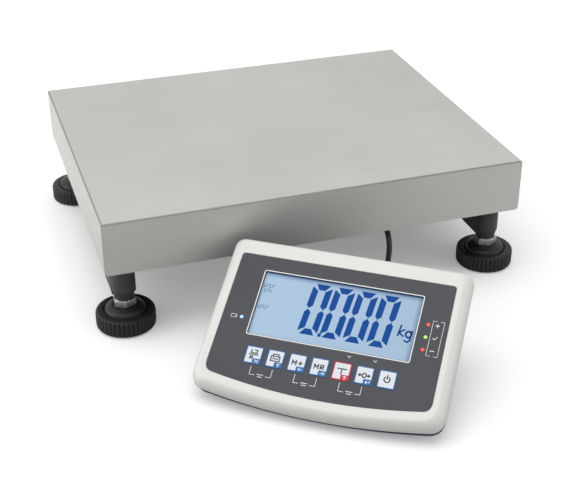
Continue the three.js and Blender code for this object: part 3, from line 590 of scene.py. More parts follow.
def weighing_plate():
    """A folded tray: the top, four skirts with rounded folds, and open mitred corner seams."""
    build = Build("plate")
    half_x, half_y = PLATE_LENGTH / MM / 2, PLATE_WIDTH / MM / 2
    top, foot = PLATE_TOP / MM, SKIRT_FOOT / MM
    fold, sheet, seam, snip = 2.4, 1.5, 0.3, 3.0
    steps = 6
    outer, inner, shy = [], [], []
    for i in range(steps + 1):
        a = math.pi / 2 * i / steps
        outer.append((-fold + fold * math.sin(a), top - fold + fold * math.cos(a)))
        inner.append((-fold + (fold - sheet) * math.sin(a), top - fold + (fold - sheet) * math.cos(a)))
        shy.append(seam * max(0.0, (i - 2) / (steps - 2)))
    for z, gap in ((foot + snip + 1, seam), (foot + snip, seam), (foot, seam + snip * 0.7)):
        outer.append((0, z))
        inner.append((-sheet, z))
        shy.append(gap)
    rows = len(outer)
    left_out, left_in, right_out, right_in = (k * rows for k in range(4))
    faces = []
    for i in range(rows - 1):
        for a, b in ((left_out, right_out), (right_in, left_in), (left_in, left_out), (right_out, right_in)):
            faces.append((a + i, a + i + 1, b + i + 1, b + i))
    faces.append(tuple(start + rows - 1 for start in (left_out, left_in, right_in, right_out)))
    for turn in range(4):
        half, far = (half_x, half_y) if turn % 2 == 0 else (half_y, half_x)
        c, s = math.cos(turn * math.pi / 2), math.sin(turn * math.pi / 2)
        verts = []
        for end in (-1, 1):
            for line in (outer, inner):
                for (out, z), gap in zip(line, shy):
                    x, y = end * (half + out - gap), -(far + out)
                    verts.append((c * x - s * y, s * x + c * y, z))
        build.add(verts, faces)
    flat_x, flat_y = half_x - fold, half_y - fold
    for z in (top, top - sheet):
        corners = [(-flat_x, -flat_y, z), (flat_x, -flat_y, z), (flat_x, flat_y, z), (-flat_x, flat_y, z)]
        build.add(corners, [(0, 1, 2, 3)])
    build.piece("weighing_plate_sheet", platform_frame, "plate", ["weighing_plate"])


def folded_channel(build, x0, x1, y0, y1, z0, z1, open_at):
    """A U of folded sheet with rounded folds, along its longer side, open at its foot or its top."""
    sheet = 3.0
    along_x = x1 - x0 > y1 - y0
    low, high = (y0, y1) if along_x else (x0, x1)
    start, stop = (x0, x1) if along_x else (y0, y1)
    fold = sheet * 1.6
    web, lip = (z1, z0) if open_at == "foot" else (z0, z1)
    sign = 1 if open_at == "foot" else -1

    def corner(centre, radius, first, last):
        return [(a, web - sign * fold + sign * b) for a, b in arc_points(centre, 0, radius, first, last, 4)]
    section = [(low, lip), *corner(low + fold, fold, 180, 90), *corner(high - fold, fold, 90, 0)]
    section += [(high, lip), (high - sheet, lip)]
    section += corner(high - fold, fold - sheet, 0, 90) + corner(low + fold, fold - sheet, 90, 180)
    section.append((low + sheet, lip))
    count = len(section)
    verts = [(s, a, z) if along_x else (a, s, z) for s in (start, stop) for a, z in section]
    faces = band(0, count, count)
    for base in (0, count):
        for i in range(count // 2 - 1):
            faces.append(tuple(base + k for k in (i, i + 1, count - 2 - i, count - 1 - i)))
    build.add(verts, faces)


def in_platform(node):
    """The CAD node's box in millimetres from the middle of the plate."""
    low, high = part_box(node)
    shift = at_platform(0, 0, 0)
    return (low - shift) / MM, (high - shift) / MM


def round_part(node):
    """An upright round CAD piece: its middle's x and y, its radius, its foot and its top."""
    low, high = in_platform(node)
    return (low.x + high.x) / 2, (low.y + high.y) / 2, (high.x - low.x) / 2, low.z, high.z


def hexagonal(flats, low=-math.inf, high=math.inf):
    """A rule that cuts a turned form to a hexagon of that half width between two heights."""
    def radius_at(radius, height, angle):
        if not low < height < high:
            return radius
        off = (angle + math.pi / 6) % (math.pi / 3) - math.pi / 6
        return min(radius, flats / math.cos(off))
    return radius_at


def side_frames():
    """Each side rail with its two round legs, their tapered tips and the weld beads."""
    for side in ("left", "right"):
        build = Build("paint", "zinc")
        low, high = in_platform(f"base_rail_{side}")
        leg_y = abs(round_part(f"foot_disc_front_{side}")[1])
        x, radius = (low.x + high.x) / 2, (high.x - low.x) / 2
        folded_channel(build, low.x, high.x, -leg_y, leg_y, low.z + 4, high.z, "foot")
        tip, top = low.z, high.z
        leg = [
            (0, tip + 0.4), (8.4, tip + 0.4), (8.6, tip), (10.2, tip), (10.5, tip + 0.5), (12.8, tip + 8.5),
            (radius - 0.2, tip + 10.2), (radius, tip + 11.5), (radius, top - 1), (radius - 1, top), (0, top),
        ]
        bead_step = 2.0
        beads = int((top - tip - 8) / bead_step)
        for y in (-leg_y, leg_y):
            build.turn(leg, 40, (x, y))
            seam_y = y - math.copysign(0.6, y)
            for seam_x in (x - radius + 0.4, x + radius - 0.4):
                line = [(seam_x, seam_y, tip + 6 + k * bead_step) for k in range(beads)]
                build.tube(line, lambda i: 1.0 + 0.25 * math.sin(i * 2.4), 8)
        build.piece(f"side_frame_{side}", platform_frame, "base", [f"base_rail_{side}"])


def cross_members():
    """The folded channels that join the rails, and those that carry the plate."""
    for node, body, open_at in (
        ("base_crossbar_rear", "base", "foot"), ("base_centre_beam", "base", "foot"),
        ("carrier_beam_left", "carrier", "top"), ("carrier_beam_right", "carrier", "top"),
    ):
        build = Build("paint")
        low, high = in_platform(node)
        folded_channel(build, low.x, high.x, low.y, high.y, low.z, high.z, open_at)
        build.piece(node + "_channel", platform_frame, body, [node])


def fluted(teeth, depth, low, high, start):
    """A rule that cuts grip grooves into a rim, between two heights and outside a start radius."""
    def radius_at(radius, height, angle):
        if not low <= height <= high or radius < start:
            return radius
        wave = 0.5 - 0.5 * math.cos(teeth * angle)
        return radius - depth * (wave ** 2.2)
    return radius_at


def foot_disc(name, where):
    """The moulded disc: a grooved rim, a sunk ring and a boss round the stud."""
    _, _, radius, _, boss = round_part(f"foot_disc_{name}")
    wall = 19.5
    disc = Build("foot", "rubber")
    profile = [
        (0, 1.2), (20, 1.2), (22, 0), (radius - 3.0, 0), (radius - 1.2, 0.6), (radius - 0.1, 2.2),
        (radius, 3.4), (radius, 9), (radius, wall - 3.6),
    ]
    for a in map(math.radians, (15, 35, 55, 75, 90)):
        profile.append((radius - 3 + 3 * math.cos(a), wall - 3 + 3 * math.sin(a)))
    for inward, up in (
        (8.2, 0), (8.9, -0.5), (9.4, -1.6), (10.2, -1.6), (10.8, -0.6), (11.0, 1.5), (12.0, 3.2), (14.5, 4.6),
    ):
        profile.append((radius - inward, wall + up))
    profile += [(16.5, boss - 0.5), (14.6, boss), (8.6, boss), (8.3, boss - 0.4), (8.3, 12), (0, 12)]
    disc.turn(profile, 240, radius_at=fluted(40, 1.5, 1.5, wall - 0.6, 31))
    disc.piece(f"foot_disc_{name}_moulding", where, f"foot_{name}", [f"foot_disc_{name}"])


def foot_stud(name, where):
    """The threaded stud, a turned ridge for each turn of its thread."""
    _, _, _, foot, top = round_part(f"foot_stud_{name}")
    crest, root, pitch = 8.0, 6.9, 2.0
    line, z = [(0, foot), (7.0, foot)], foot + 0.9
    while z < top - 2.4:
        line += [(crest, z), (crest, z + 0.3), (root, z + 1.0), (root, z + 1.3)]
        z += pitch
    stud = Build("zinc")
    stud.turn(line + [(7.0, top), (0, top)], 24)
    stud.piece(f"foot_stud_{name}_thread", where, f"foot_{name}", [f"foot_stud_{name}"])


def lock_nut(name, where):
    _, _, flats, foot, top = round_part(f"lock_nut_{name}")
    corner = flats / math.cos(math.radians(30))
    nut = Build("zinc")
    profile = [
        (0, foot + 0.2), (8.6, foot + 0.2), (9.2, foot), (flats - 0.4, foot), (corner, foot + 1.4),
        (corner, top - 1.4), (flats - 0.4, top), (9.2, top), (8.6, top - 0.3), (0, top - 0.3),
    ]
    nut.turn(profile, 120, radius_at=hexagonal(flats))
    nut.piece(f"lock_nut_{name}_hex", where, f"lock_nut_{name}", [f"lock_nut_{name}"], smooth=25)


def levelling_feet():
    for name in CORNERS:
        x, y, *_ = round_part(f"foot_disc_{name}")
        where = platform_frame @ moved(x, y)
        foot_disc(name, where)
        foot_stud(name, where)
        lock_nut(name, where)


def plate_bumper(name):
    """A rubber post with a waist."""
    x, y, r, foot, top = round_part(f"plate_bumper_{name}")
    post = Build("rubber")
    profile = [
        (0, foot), (r - 0.6, foot), (r, foot + 0.6), (r, foot + 4), (r - 1.6, foot + 7), (r - 1.6, top - 7),
        (r, top - 4), (r, top - 1), (r - 1, top), (0, top),
    ]
    post.turn(profile, 32, (x, y))
    post.piece(f"plate_bumper_{name}_post", platform_frame, "carrier", [f"plate_bumper_{name}"])


def overload_stop(name):
    """A threaded stop screw in its hexagonal nut."""
    x, y, flats, foot, top = round_part(f"overload_stop_{name}")
    screw = Build("zinc")
    profile = [
        (0, foot), (flats - 0.2, foot), (flats * 1.1, foot + 0.6), (flats * 1.1, foot + 4.4),
        (flats - 0.2, foot + 5), (3.2, foot + 5.1), (3.0, foot + 5.4),
    ]
    profile += [(3.0 - 0.35 * (k % 2), foot + 5.5 + 0.5 * k) for k in range(42)]
    profile += [(2.4, top - 0.4), (2.2, top), (0, top)]
    screw.turn(profile, 36, (x, y), radius_at=hexagonal(flats))
    screw.piece(
        f"overload_stop_{name}_screw", platform_frame, "base", [f"overload_stop_{name}"], smooth=25,
    )


def bumpers_and_stops():
    for name in CORNERS:
        plate_bumper(name)
        overload_stop(name)


def bubble_level():
    """A round level: its case, its liquid, a ring to read it by and the bubble, a little off centre."""
    x, y, r, foot, top = round_part("bubble_level")
    level = Build("black", "liquid", "print")
    case = [
        (0, foot), (r - 0.4, foot), (r, foot + 0.4), (r, top - 0.6), (r - 0.6, top), (r - 2.3, top),
        (r - 2.6, top - 0.5), (r - 2.6, top - 3), (0, top - 3),
    ]
    level.turn(case, 40, (x, y))
    inside = r - 2.7
    filling = [(0, top - 2.9), (inside, top - 2.9), (inside, top - 0.9), (r - 4, top - 0.5), (0, top - 0.35)]
    level.turn(filling, 40, (x, y), 1)
    rings = []
    for radius, down in ((3.4, 0.36), (3.8, 0.36), (3.8, 0.3), (3.4, 0.3)):
        rings.append([(u, v, top - down) for u, v in arc_points(x, y, radius, 0, 360, 32)[:-1]])
    level.loft(rings, closed=True)
    bubble = [(0, top - 0.4), (2.2, top - 0.38), (2.0, top - 0.15), (0, top - 0.02)]
    level.turn(bubble, 24, (x + 0.5, y - 0.3), 2)
    level.piece("bubble_level_vial", platform_frame, "base", ["bubble_level"])


def cable_gland():
    """The gland in the front crossbar: a ribbed sleeve, a dome, a hexagonal nut and a thread."""
    low, high = in_platform("cable_gland")
    gland = Build("black")
    profile = [(0, 0), (3.7, 0), (4.6, 0.5)]
    for k in range(4):
        at, rib = 1.6 + 2.1 * k, 4.7 + 0.25 * k
        profile += [(rib, at), (rib, at + 1.2), (rib - 0.6, at + 1.5), (rib - 0.6, at + 1.9)]
    profile += [(7.6, 10.6), (8.4, 11.2), (8.6, 12.6), (10.9, 12.9), (10.9, 20.0), (10.4, 20.5)]
    profile += [(8, 20.5), (8, 28.6), (0, 28.6)]
    gland.turn(profile, 60, radius_at=hexagonal(10.0, 12.8, 20.6))
    where = platform_frame @ moved((low.x + high.x) / 2, low.y, (low.z + high.z) / 2)
    where = where @ Matrix.Rotation(-math.pi / 2, 4, "X")
    gland.piece("cable_gland_nut", where, "base", ["cable_gland"], smooth=30)


# ---- cable ---------------------------------------------------------------

CABLE_RADIUS = 3.25
COIL_U, COIL_H = -36.5, 148.0
COIL_INNER, COIL_PITCH, COIL_TURNS = 26.0, 6.5, 3
PLATFORM_RUN = (
    (88.7, -170.2, 76), (88.4, -179.6, 74), (87.8, -188, 68.4), (87.1, -193.6, 60),
    (86.4, -195.6, 50), (85.6, -195.8, 42), (84.6, -196.2, 34), (83.4, -197.6, 25.5),
    (81.6, -201.4, 16.5), (79, -207.4, 9.2), (76.2, -214.2, 5.2), (73, -221, 4),
)
DISPLAY_RUN = (
    (12, 56.6, 26.3), (12, 58.6, 23), (12, 60.8, 19.4), (12, 63, 15.8), (12, 68.4, 9.5),
    (12, 76.2, 5), (12, 85.1, 3.6), (12, 94, 3.5), (11.6, 103, 4), (10.8, 112, 5.4), (9.8, 121, 7.6),
)


def coil_points():
    """The spare cable from its outer end at the bottom, in to the middle and out again on top."""
    low, high = 3.95, 10.45
    spread = COIL_PITCH * COIL_TURNS
    first = math.radians(-20)
    turns = 2 * COIL_TURNS + 2
    total = 2 * math.pi * turns + first
    steps = int(total / (2 * math.pi) * 40)
    points = []
    for i in range(steps + 1):
        swept = total * i / steps
        turn = swept / (2 * math.pi)
        if turn < COIL_TURNS:
            r = COIL_INNER + spread - COIL_PITCH * turn
        elif turn < COIL_TURNS + 1:
            r = COIL_INNER
        else:
            r = COIL_INNER + min(COIL_PITCH * (turn - COIL_TURNS - 1), spread)
        rise = min(max((turn - COIL_TURNS - 0.75) / 0.25, 0), 1)
        z = low + (high - low) * rise * rise * (3 - 2 * rise)
        a = first - swept
        points.append((COIL_U + r * math.cos(a), COIL_H + r * math.sin(a), z))
    return points


def smooth_line(points, step):
    """Points at even steps on a smooth curve through the given ones."""
    line = [Vector(p) for p in points]
    fine = []
    for i in range(len(line) - 1):
        p0, p1, p2, p3 = line[max(i - 1, 0)], line[i], line[i + 1], line[min(i + 2, len(line) - 1)]
        slope, curve, twist = p2 - p0, 2 * p0 - 5 * p1 + 4 * p2 - p3, 3 * p1 - p0 - 3 * p2 + p3
        count = max(2, int((p2 - p1).length / step * 4))
        for k in range(count):
            t = k / count
            fine.append(0.5 * ((2 * p1) + slope * t + curve * t * t + twist * t ** 3))
    fine.append(line[-1])
    even = [fine[0]]
    for point in fine[1:]:
        if (point - even[-1]).length >= step:
            even.append(point)
    if (fine[-1] - even[-1]).length > step * 0.3:
        even.append(fine[-1])
    else:
        even[-1] = fine[-1]
    return even


def cable():
    """One cable from the platform's gland, by the tied coil, to the plug behind the display."""
    run = [tuple(at_platform(*p) / MM) for p in PLATFORM_RUN]
    coil = [tuple((desk_frame @ (Vector(p) * MM)) / MM) for p in coil_points()]
    back = [tuple((desk_frame @ (Vector(p) * MM)) / MM) for p in reversed(DISPLAY_RUN)]
    line = smooth_line(run + coil + back, 4.0)
    build = Build("cable")
    build.tube(line, CABLE_RADIUS)
    jacket = build.piece("load_cell_cable", Matrix.Identity(4), None)
    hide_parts("cable_platform_run", "cable_coil", "cable_display_run")
    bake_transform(jacket)
    tie = coil_tie()


def coil_tie():
    """A strap round the coil's bundle, with its small lock."""
    tie = Build("black")
    angle = math.radians(200)
    across = Vector((math.cos(angle), math.sin(angle), 0))
    along = Vector((-math.sin(angle), math.cos(angle), 0))
    centre = Vector((COIL_U, COIL_H, 0))

    def at(r, s, z):
        return tuple(centre + across * r + along * s + Vector((0, 0, z)))
    low, high = 0.1, 14.3
    inner = COIL_INNER - CABLE_RADIUS - 0.3
    outer = COIL_INNER + COIL_PITCH * COIL_TURNS + CABLE_RADIUS + 0.3
    loop = [
        (inner + 2.5, low), (outer - 2.5, low), (outer - 0.8, low + 0.9), (outer, low + 3),
        (outer, high - 3), (outer - 0.8, high - 0.9), (outer - 2.5, high), (inner + 2.5, high),
        (inner + 0.8, high - 0.9), (inner, high - 3), (inner, low + 3), (inner + 0.8, low + 0.9),
    ]
    thin = []
    for r, z in loop:
        upright = low + 2 < z < high - 2
        inward = math.copysign(0.55 if upright else 0.275, (inner + outer) / 2 - r)
        level = 0 if upright else math.copysign(0.5, (low + high) / 2 - z)
        thin.append((r + inward, z + level))
    half = 2.2
    sides = ((-half, loop), (half, loop), (half, thin), (-half, thin))
    tie.loft([[at(r, s, z) for r, z in points] for s, points in sides], closed=True)
    lock = []
    for z, grow in ((high - 3.4, 0), (high - 3.1, 0.3), (high - 0.5, 0.3), (high - 0.2, 0)):
        r0, r1, w = outer - 4.5 - grow, outer + 0.6 + grow, 2.9 + grow
        lock.append([at(r, s, z) for r, s in ((r0, -w), (r1, -w), (r1, w), (r0, w))])
    tie.loft(lock)
    return tie.piece("coil_tie", desk_frame, "base")


# ---- display -------------------------------------------------------------

FACE_TOP, FACE_CORNER, FACE_BOTTOM = 72.5, -98.0, -107.0
HALF_TOP, HALF_BOTTOM = 126.2, 128.0
SHELL_BACK, SHELL_FRONT, WEDGE_START = 45.0, 24.0, -58.0
UPPER_SHELL = 16.0
SIDE_SWELL = 5.8
END_SWELL = 3.6
RIM_ROUND = 4.6
LOWER_BAND = 8.0


def curve_points(p0, p1, p2, steps):
    """Points from p0 to p2 on the curve that p1 pulls at."""
    out = []
    for i in range(steps + 1):
        t = i / steps
        out.append(tuple((1 - t) ** 2 * a + 2 * t * (1 - t) * b + t * t * c for a, b, c in zip(p0, p1, p2)))
    return out


def right_side(side, top, foot):
    """The right half of the face's outline, from the middle of its top edge to the middle of its foot."""
    half_top, half_bottom = HALF_TOP - side, HALF_BOTTOM - side
    upper, corner = FACE_TOP - top, FACE_CORNER + foot
    round_top, round_foot = max(12 - max(side, 0), 4), max(18 - max(side, 0), 5)
    bow = 2 * (FACE_BOTTOM - FACE_CORNER) - 2
    points = [(0, upper), (half_top * 0.5, upper)]
    points += curve_points((half_top - round_top, upper), (half_top, upper), (half_top, upper - round_top), 8)
    low_start = corner + round_foot + 2
    for v in (40, 20, 0, -20, -40, WEDGE_START):
        t = (upper - round_top - v) / (upper - round_top - low_start)
        points.append((half_top + (half_bottom - half_top) * t, v))
    turned = (half_bottom - round_foot, corner - 1)
    points += curve_points((half_bottom, low_start), (half_bottom, corner), turned, 8)
    whole = curve_points(turned, (0, corner + bow), (-half_bottom + round_foot, corner - 1), 28)
    return points + whole[1:15]


def face_ring(side, top, foot, height):
    """The whole outline, clockwise from the top's middle, at one height."""
    right = right_side(side, top, foot)
    left = [(-u, v) for u, v in reversed(right[1:-1])]
    return [(u, v, height) for u, v in right + left]


def cap_faces(count):
    """Faces that close such a ring, each joining a pair of points on the right to the pair on the left."""
    half = count // 2
    faces = [(0, 1, count - 1)]
    for i in range(1, half - 1):
        faces.append((i, i + 1, count - i - 1, count - i))
    faces.append((half - 1, half, half + 1))
    return faces


def swelled_ring(inset, swell, height):
    """A ring of the housing, standing out by a share of its full swell."""
    side, end = inset - swell * SIDE_SWELL, inset - swell * END_SWELL
    return face_ring(side, end, end, height)


def top_shell():
    """The white upper shell: a thick rim that swells from the sunk place of the face panel to its joint."""
    build = Build("shell")
    rings = [swelled_ring(0.4, 1, -UPPER_SHELL), swelled_ring(0.05, 1, -UPPER_SHELL + 0.45)]
    for k in range(13):
        turn = math.radians(90) * k / 12
        share = 1 - math.cos(turn)
        depth = (UPPER_SHELL - 0.6) * (1 - math.sin(turn))
        rings.append(swelled_ring(RIM_ROUND * share, 1 - share, -depth))
    for side, top, foot, height in (
        (8.6, 17.1, 12.1, 0.0), (8.9, 17.4, 12.4, -0.25), (9.0, 17.5, 12.5, -0.8),
        (14, 22, 17, -0.8), (14, 22, 17, -2.5), (4.5, 4.5, 4.5, -2.5),
    ):
        rings.append(face_ring(side, top, foot, height))
    for swell, height in ((0.4, -5.0), (0.9, -11.0), (1, -UPPER_SHELL)):
        rings.append(swelled_ring(2.5, swell, height))
    build.loft(rings, closed=True)
    build.piece(
        "display_top_shell_moulding", face_frame, "display", ["display_top_shell"],
        smooth=30, settled=True,
    )


def shell_foot(v):
    """How deep the lower shell reaches at that place up the face."""
    if v > WEDGE_START:
        return -SHELL_BACK
    return -SHELL_BACK + (SHELL_BACK - SHELL_FRONT) * (WEDGE_START - v) / (WEDGE_START - FACE_BOTTOM)


def lower_ring(inset, share):
    """A ring of the lower shell, a share of the way from its joint down to its foot."""
    start = -UPPER_SHELL - 0.35
    whole = start + SHELL_BACK
    ring = []
    for (u0, v0, _), (u1, v1, _) in zip(swelled_ring(inset, 1, 0), face_ring(inset, inset, inset, 0)):
        down = (start - shell_foot(v0)) * share
        if down < LOWER_BAND:
            t = 0.1 * down / LOWER_BAND
        else:
            t = 0.1 + 0.9 * (down - LOWER_BAND) / (whole - LOWER_BAND)
        ring.append((u0 + (u1 - u0) * t, v0 + (v1 - v0) * t, start - down))
    return ring


def bottom_shell():
    """The navy lower shell, with its four screws and, in its back, a row of sound slots drawn as black
    patches of painted shade.
    """
    build = Build("navy", "black")
    rings = [swelled_ring(0.9, 1, -UPPER_SHELL - 0.35)]
    for inset, share in (
        (0.5, 0.02), (0.5, 0.27), (0.55, 0.6),
        (0.8, 0.86), (1.2, 0.92), (2.1, 0.965), (3.4, 0.99), (5.0, 1.0),
    ):
        rings.append(lower_ring(inset, share))
    build.loft(rings, caps=False)
    for ring in (rings[-1], rings[0]):
        build.add(ring, cap_faces(len(ring)))
    back = -SHELL_BACK
    for u, v in ((-112, 58), (112, 58), (-114, -44), (114, -44)):
        head = [(0, back - 0.3), (3.9, back - 0.3), (4.4, back - 0.1), (4.4, back + 1), (0, back + 1)]
        build.turn(head, 24, (u, v))
        build.turn([(0, back - 0.36), (2.6, back - 0.36), (2.6, back), (0, back)], 6, (u, v), 1)
    # The sound slots: black patches on the back, painted shade in place of open slots.
    for k in range(9):
        build.prism(round_box(1.8, 26, 0.9, 3, (60 + k * 5.0, -20)), back - 0.12, back + 0.5, 1)
    build.piece(
        "display_bottom_shell_moulding", face_frame, "display", ["display_bottom_shell"],
        smooth=30, settled=True,
    )


KEY_U, KEY_PITCH, KEY_V, KEY_WIDTH, KEY_HEIGHT = -1.2, 23.5, -60.4, 18.3, 19.6
LAMP_U, LAMP_V, LAMP_PITCH, CHARGE_V = 96.8, -7.1, 14.2, -20.3
SCREEN_WIDTH, SCREEN_HEIGHT = 172.0, 74.5
PRINT = 0.06


def flat_sheet(build, outer, hole, low, high, finish=0):
    """A flat sheet with a hole through it."""
    work = bmesh.new()
    loops = []
    for outline in (outer, hole):
        ring = [work.verts.new((x, y, high)) for x, y in outline]
        loops.append(ring)
        for i, vert in enumerate(ring):
            work.edges.new((vert, ring[(i + 1) % len(ring)]))
    bmesh.ops.triangle_fill(work, use_beauty=True, edges=work.edges[:])
    work.verts.index_update()
    top = [tuple(v.co) for v in work.verts]
    faces = [[v.index for v in face.verts] for face in work.faces]
    if work.faces and sum(f.normal.z for f in work.faces) < 0:
        faces = [list(reversed(face)) for face in faces]
    count = len(top)
    verts = top + [(x, y, low) for x, y, _ in top]
    every = faces + [[count + i for i in reversed(face)] for face in faces]
    for ring in loops:
        index = [v.index for v in ring]
        for a, b in zip(index, index[1:] + index[:1]):
            every.append([a, b, count + b, count + a])
    work.free()
    build.add(verts, every, finish)


def face_panel():
    """The printed overlay: dark film with the screen's window, its frame line and the printed marks."""
    build = Build("film", "print")
    outer = [(u, v) for u, v, _ in reversed(face_ring(9.25, 17.75, 12.75, 0))]
    window = list(reversed(round_box(SCREEN_WIDTH - 0.4, SCREEN_HEIGHT - 0.4, 1.2, 4)))
    flat_sheet(build, outer, window, -0.55, -0.05)
    frame_out = round_box(SCREEN_WIDTH + 2.4, SCREEN_HEIGHT + 2.4, 2.2, 4)
    frame_in = list(reversed(round_box(SCREEN_WIDTH + 0.3, SCREEN_HEIGHT + 0.3, 1.4, 4)))
    low, high = -0.06, -0.05 + PRINT
    flat_sheet(build, frame_out, frame_in, low, high, 1)

    def draw(width, *points):
        build.stroke(points, width, low, high, 1)
    first = KEY_U - 3 * KEY_PITCH
    for pair in range(3):
        a, b = first + 2 * pair * KEY_PITCH + 1, first + (2 * pair + 1) * KEY_PITCH + 0.5
        draw(0.55, (a, -72.8), (a, -81.6), (a + 5.5, -81.6))
        draw(0.55, (b - 5.5, -81.6), (b, -81.6), (b, -72.8))
        for half, v in ((3.2, -80.4), (2.2, -82.8)):
            draw(0.7, ((a + b) / 2 - half, v), ((a + b) / 2 + half, v))
    for u in (26.0, 53.0):
        draw(0.6, (u - 1.4, -42.4), (u, -44.0), (u + 1.4, -42.4))
    left, right, top, foot = LAMP_U + 4.4, LAMP_U + 16.0, LAMP_V + 19.2, LAMP_V - 20.0
    for u, inward in ((left, 4), (right, -4)):
        draw(0.45, (u + inward, top), (u, top), (u, foot), (u + inward, foot))
    sign, plus_v, minus_v = (left + right) / 2 - 0.6, LAMP_V + LAMP_PITCH, LAMP_V - LAMP_PITCH
    for v in (plus_v, minus_v):
        draw(0.8, (sign - 1.9, v), (sign + 1.9, v))
    draw(0.8, (sign, plus_v - 1.9), (sign, plus_v + 1.9))
    draw(0.7, (sign - 2.0, LAMP_V), (sign - 0.5, LAMP_V - 1.5), (sign + 2.2, LAMP_V + 1.7))
    u, v = -LAMP_U - 8.6, CHARGE_V
    draw(0.5, (u - 3, v - 1.8), (u + 2.4, v - 1.8), (u + 2.4, v + 1.8), (u - 3, v + 1.8), (u - 3, v - 1.8))
    draw(0.6, (u + 3.1, v - 0.8), (u + 3.1, v + 0.8))
    build.piece(
        "face_panel_film", face_frame, "display", ["face_panel"], smooth=30, settled=True,
    )


def nought(build, left, foot, high):
    """A leaning figure nought of six separate bars, in ink up to that height."""
    width, height, bar, lean, gap = 21.4, 59.4, 6.8, 4.6, 0.55
    mid = height / 2

    def lay(points):
        outline = [(left + x + lean * (y / height), foot + y) for x, y in points]
        build.prism(outline, high - PRINT, high, 1)
    near, far = gap + bar * 0.35, gap + bar
    lay([(near, 0), (width - near, 0), (width - far, bar), (far, bar)])
    lay([(far, height - bar), (width - far, height - bar), (width - near, height), (near, height)])
    lower = [
        (0, gap + bar * 0.4), (bar, gap + bar * 1.1), (bar, mid - gap - bar * 0.5),
        (bar * 0.45, mid - gap * 0.6), (0, mid - gap - bar * 0.5),
    ]
    for side in (lower, [(x, height - y) for x, y in reversed(lower)]):
        lay(side)
        lay([(width - x, y) for x, y in reversed(side)])


def screen():
    """The screen's glass, with its figures, the letters for kilograms and small signs at its left."""
    glass = Build("screen", "ink", "faint_ink")
    back = -2.4
    high = back + PRINT
    half_u, half_v = SCREEN_WIDTH / 2, SCREEN_HEIGHT / 2
    glass.block(-half_u, half_u, -half_v, half_v, -8.4, back, 0.3)
    for left in (-35.6, -11.4, 13.2, 38.2):
        nought(glass, left, -26.4, high)

    def draw(width, points, finish=1):
        glass.stroke(points, width, high - PRINT, high, finish)
    glass.prism([(-13.0, -26.4), (-9.6, -26.4), (-9.3, -22.6), (-12.7, -22.6)], high - PRINT, high, 1)
    draw(1.9, [(68.4, -9.4), (69.8, 2.0)])
    draw(1.8, [(74.0, -2.2), (69.0, -5.8), (73.6, -9.4)])
    draw(1.8, arc_points(79.0, -6.6, (2.9, 3.4), 0, 360, 12))
    draw(1.8, [(82.2, -2.8), (81.4, -13.0), (79.2, -15.2), (76.2, -14.2)])
    for v, first, marks in ((21.5, 0, 4), (16.0, 1.6, 3), (-3.6, 0, 4)):
        for k in range(marks):
            x, bar = -84 + first + 3.2 * k, v + (1.5 if k % 2 else -1.5)
            draw(0.7, [(x, v - 1.6), (x + 0.3, v + 1.6)], 2)
            draw(0.7, [(x, bar), (x + 2.2, bar)], 2)
    glass.piece("lcd_screen_glass", face_frame, "display", ["lcd_screen"], smooth=30)


def ring_box(x0, x1, y0, y1):
    """The closed outline of an upright box."""
    return [(x0, y0), (x0, y1), (x1, y1), (x1, y0), (x0, y0)]


def key_signs():
    """What is printed on each key: strokes in millimetres from the key's middle."""
    letter_m = [(-5, -2.2), (-5, 2.4), (-3, -0.4), (-1, 2.4), (-1, -2.2)]
    gross = [[(-3, 5.4), (-3, 2.2), (-0.4, 2.2)], [(0.8, 5.4), (3.2, 5.4), (3.2, 2.2), (0.8, 2.2)]]
    gross_net = [[(-4.5, 0.4), (4.5, 0.4)], *gross, [(-3, -1.4), (-3, -4.2), (-0.6, -1.4), (-0.6, -4.2)]]
    paper = [(-2.8, 2.6), (-2.8, 5.0), (2.8, 5.0), (2.8, 2.6)]
    printer = [ring_box(-4.6, 4.6, -2.6, 2.6), paper, [(-2.6, 0), (2.6, 0)]]
    store = [letter_m, [(1.6, 0), (5.4, 0)], [(3.5, -1.9), (3.5, 1.9)]]
    recall = [letter_m, [(1.4, -2.2), (1.4, 2.4), (4.4, 2.4), (4.4, 0.2), (1.4, 0.2), (4.8, -2.2)]]
    tare = [[(-4.4, 2.6), (4.4, 2.6)], [(0, 2.6), (0, -3.0)]]
    zero = [[(-6, 0), (-3.4, 0)], [(3.4, 0), (6, 0)], arc_points(0, 0, (2.1, 2.4), 0, 360, 9)]
    zero += [[(s * 4.7, 1.1), (s * 3.4, 0), (s * 4.7, -1.1)] for s in (-1, 1)]
    power = [arc_points(0, 0, 3.0, 125, 415, 10), [(0, 0.6), (0, 4.4)]]
    return gross_net, printer, store, recall, tare, zero, power


def tab_signs():
    """The small second sign of each key but the last: a cross, arrows and an enter mark."""
    cross = [[(-2, -1.4), (2, 1.4)], [(-2, 1.4), (2, -1.4)]]
    up = [[(0, -2), (0, 2)], [(-1.5, 0.4), (0, 2), (1.5, 0.4)]]

    def arrow(s):
        return [[(-s * 2.2, 0), (s * 2.2, 0)], [(s * 0.6, 1.5), (s * 2.2, 0), (s * 0.6, -1.5)]]
    enter = [[(2.2, 1.4), (2.2, -0.4), (-2.2, -0.4)], [(-0.8, 0.9), (-2.2, -0.4), (-0.8, -1.7)]]
    return cross, up, arrow(-1), arrow(1), up, enter


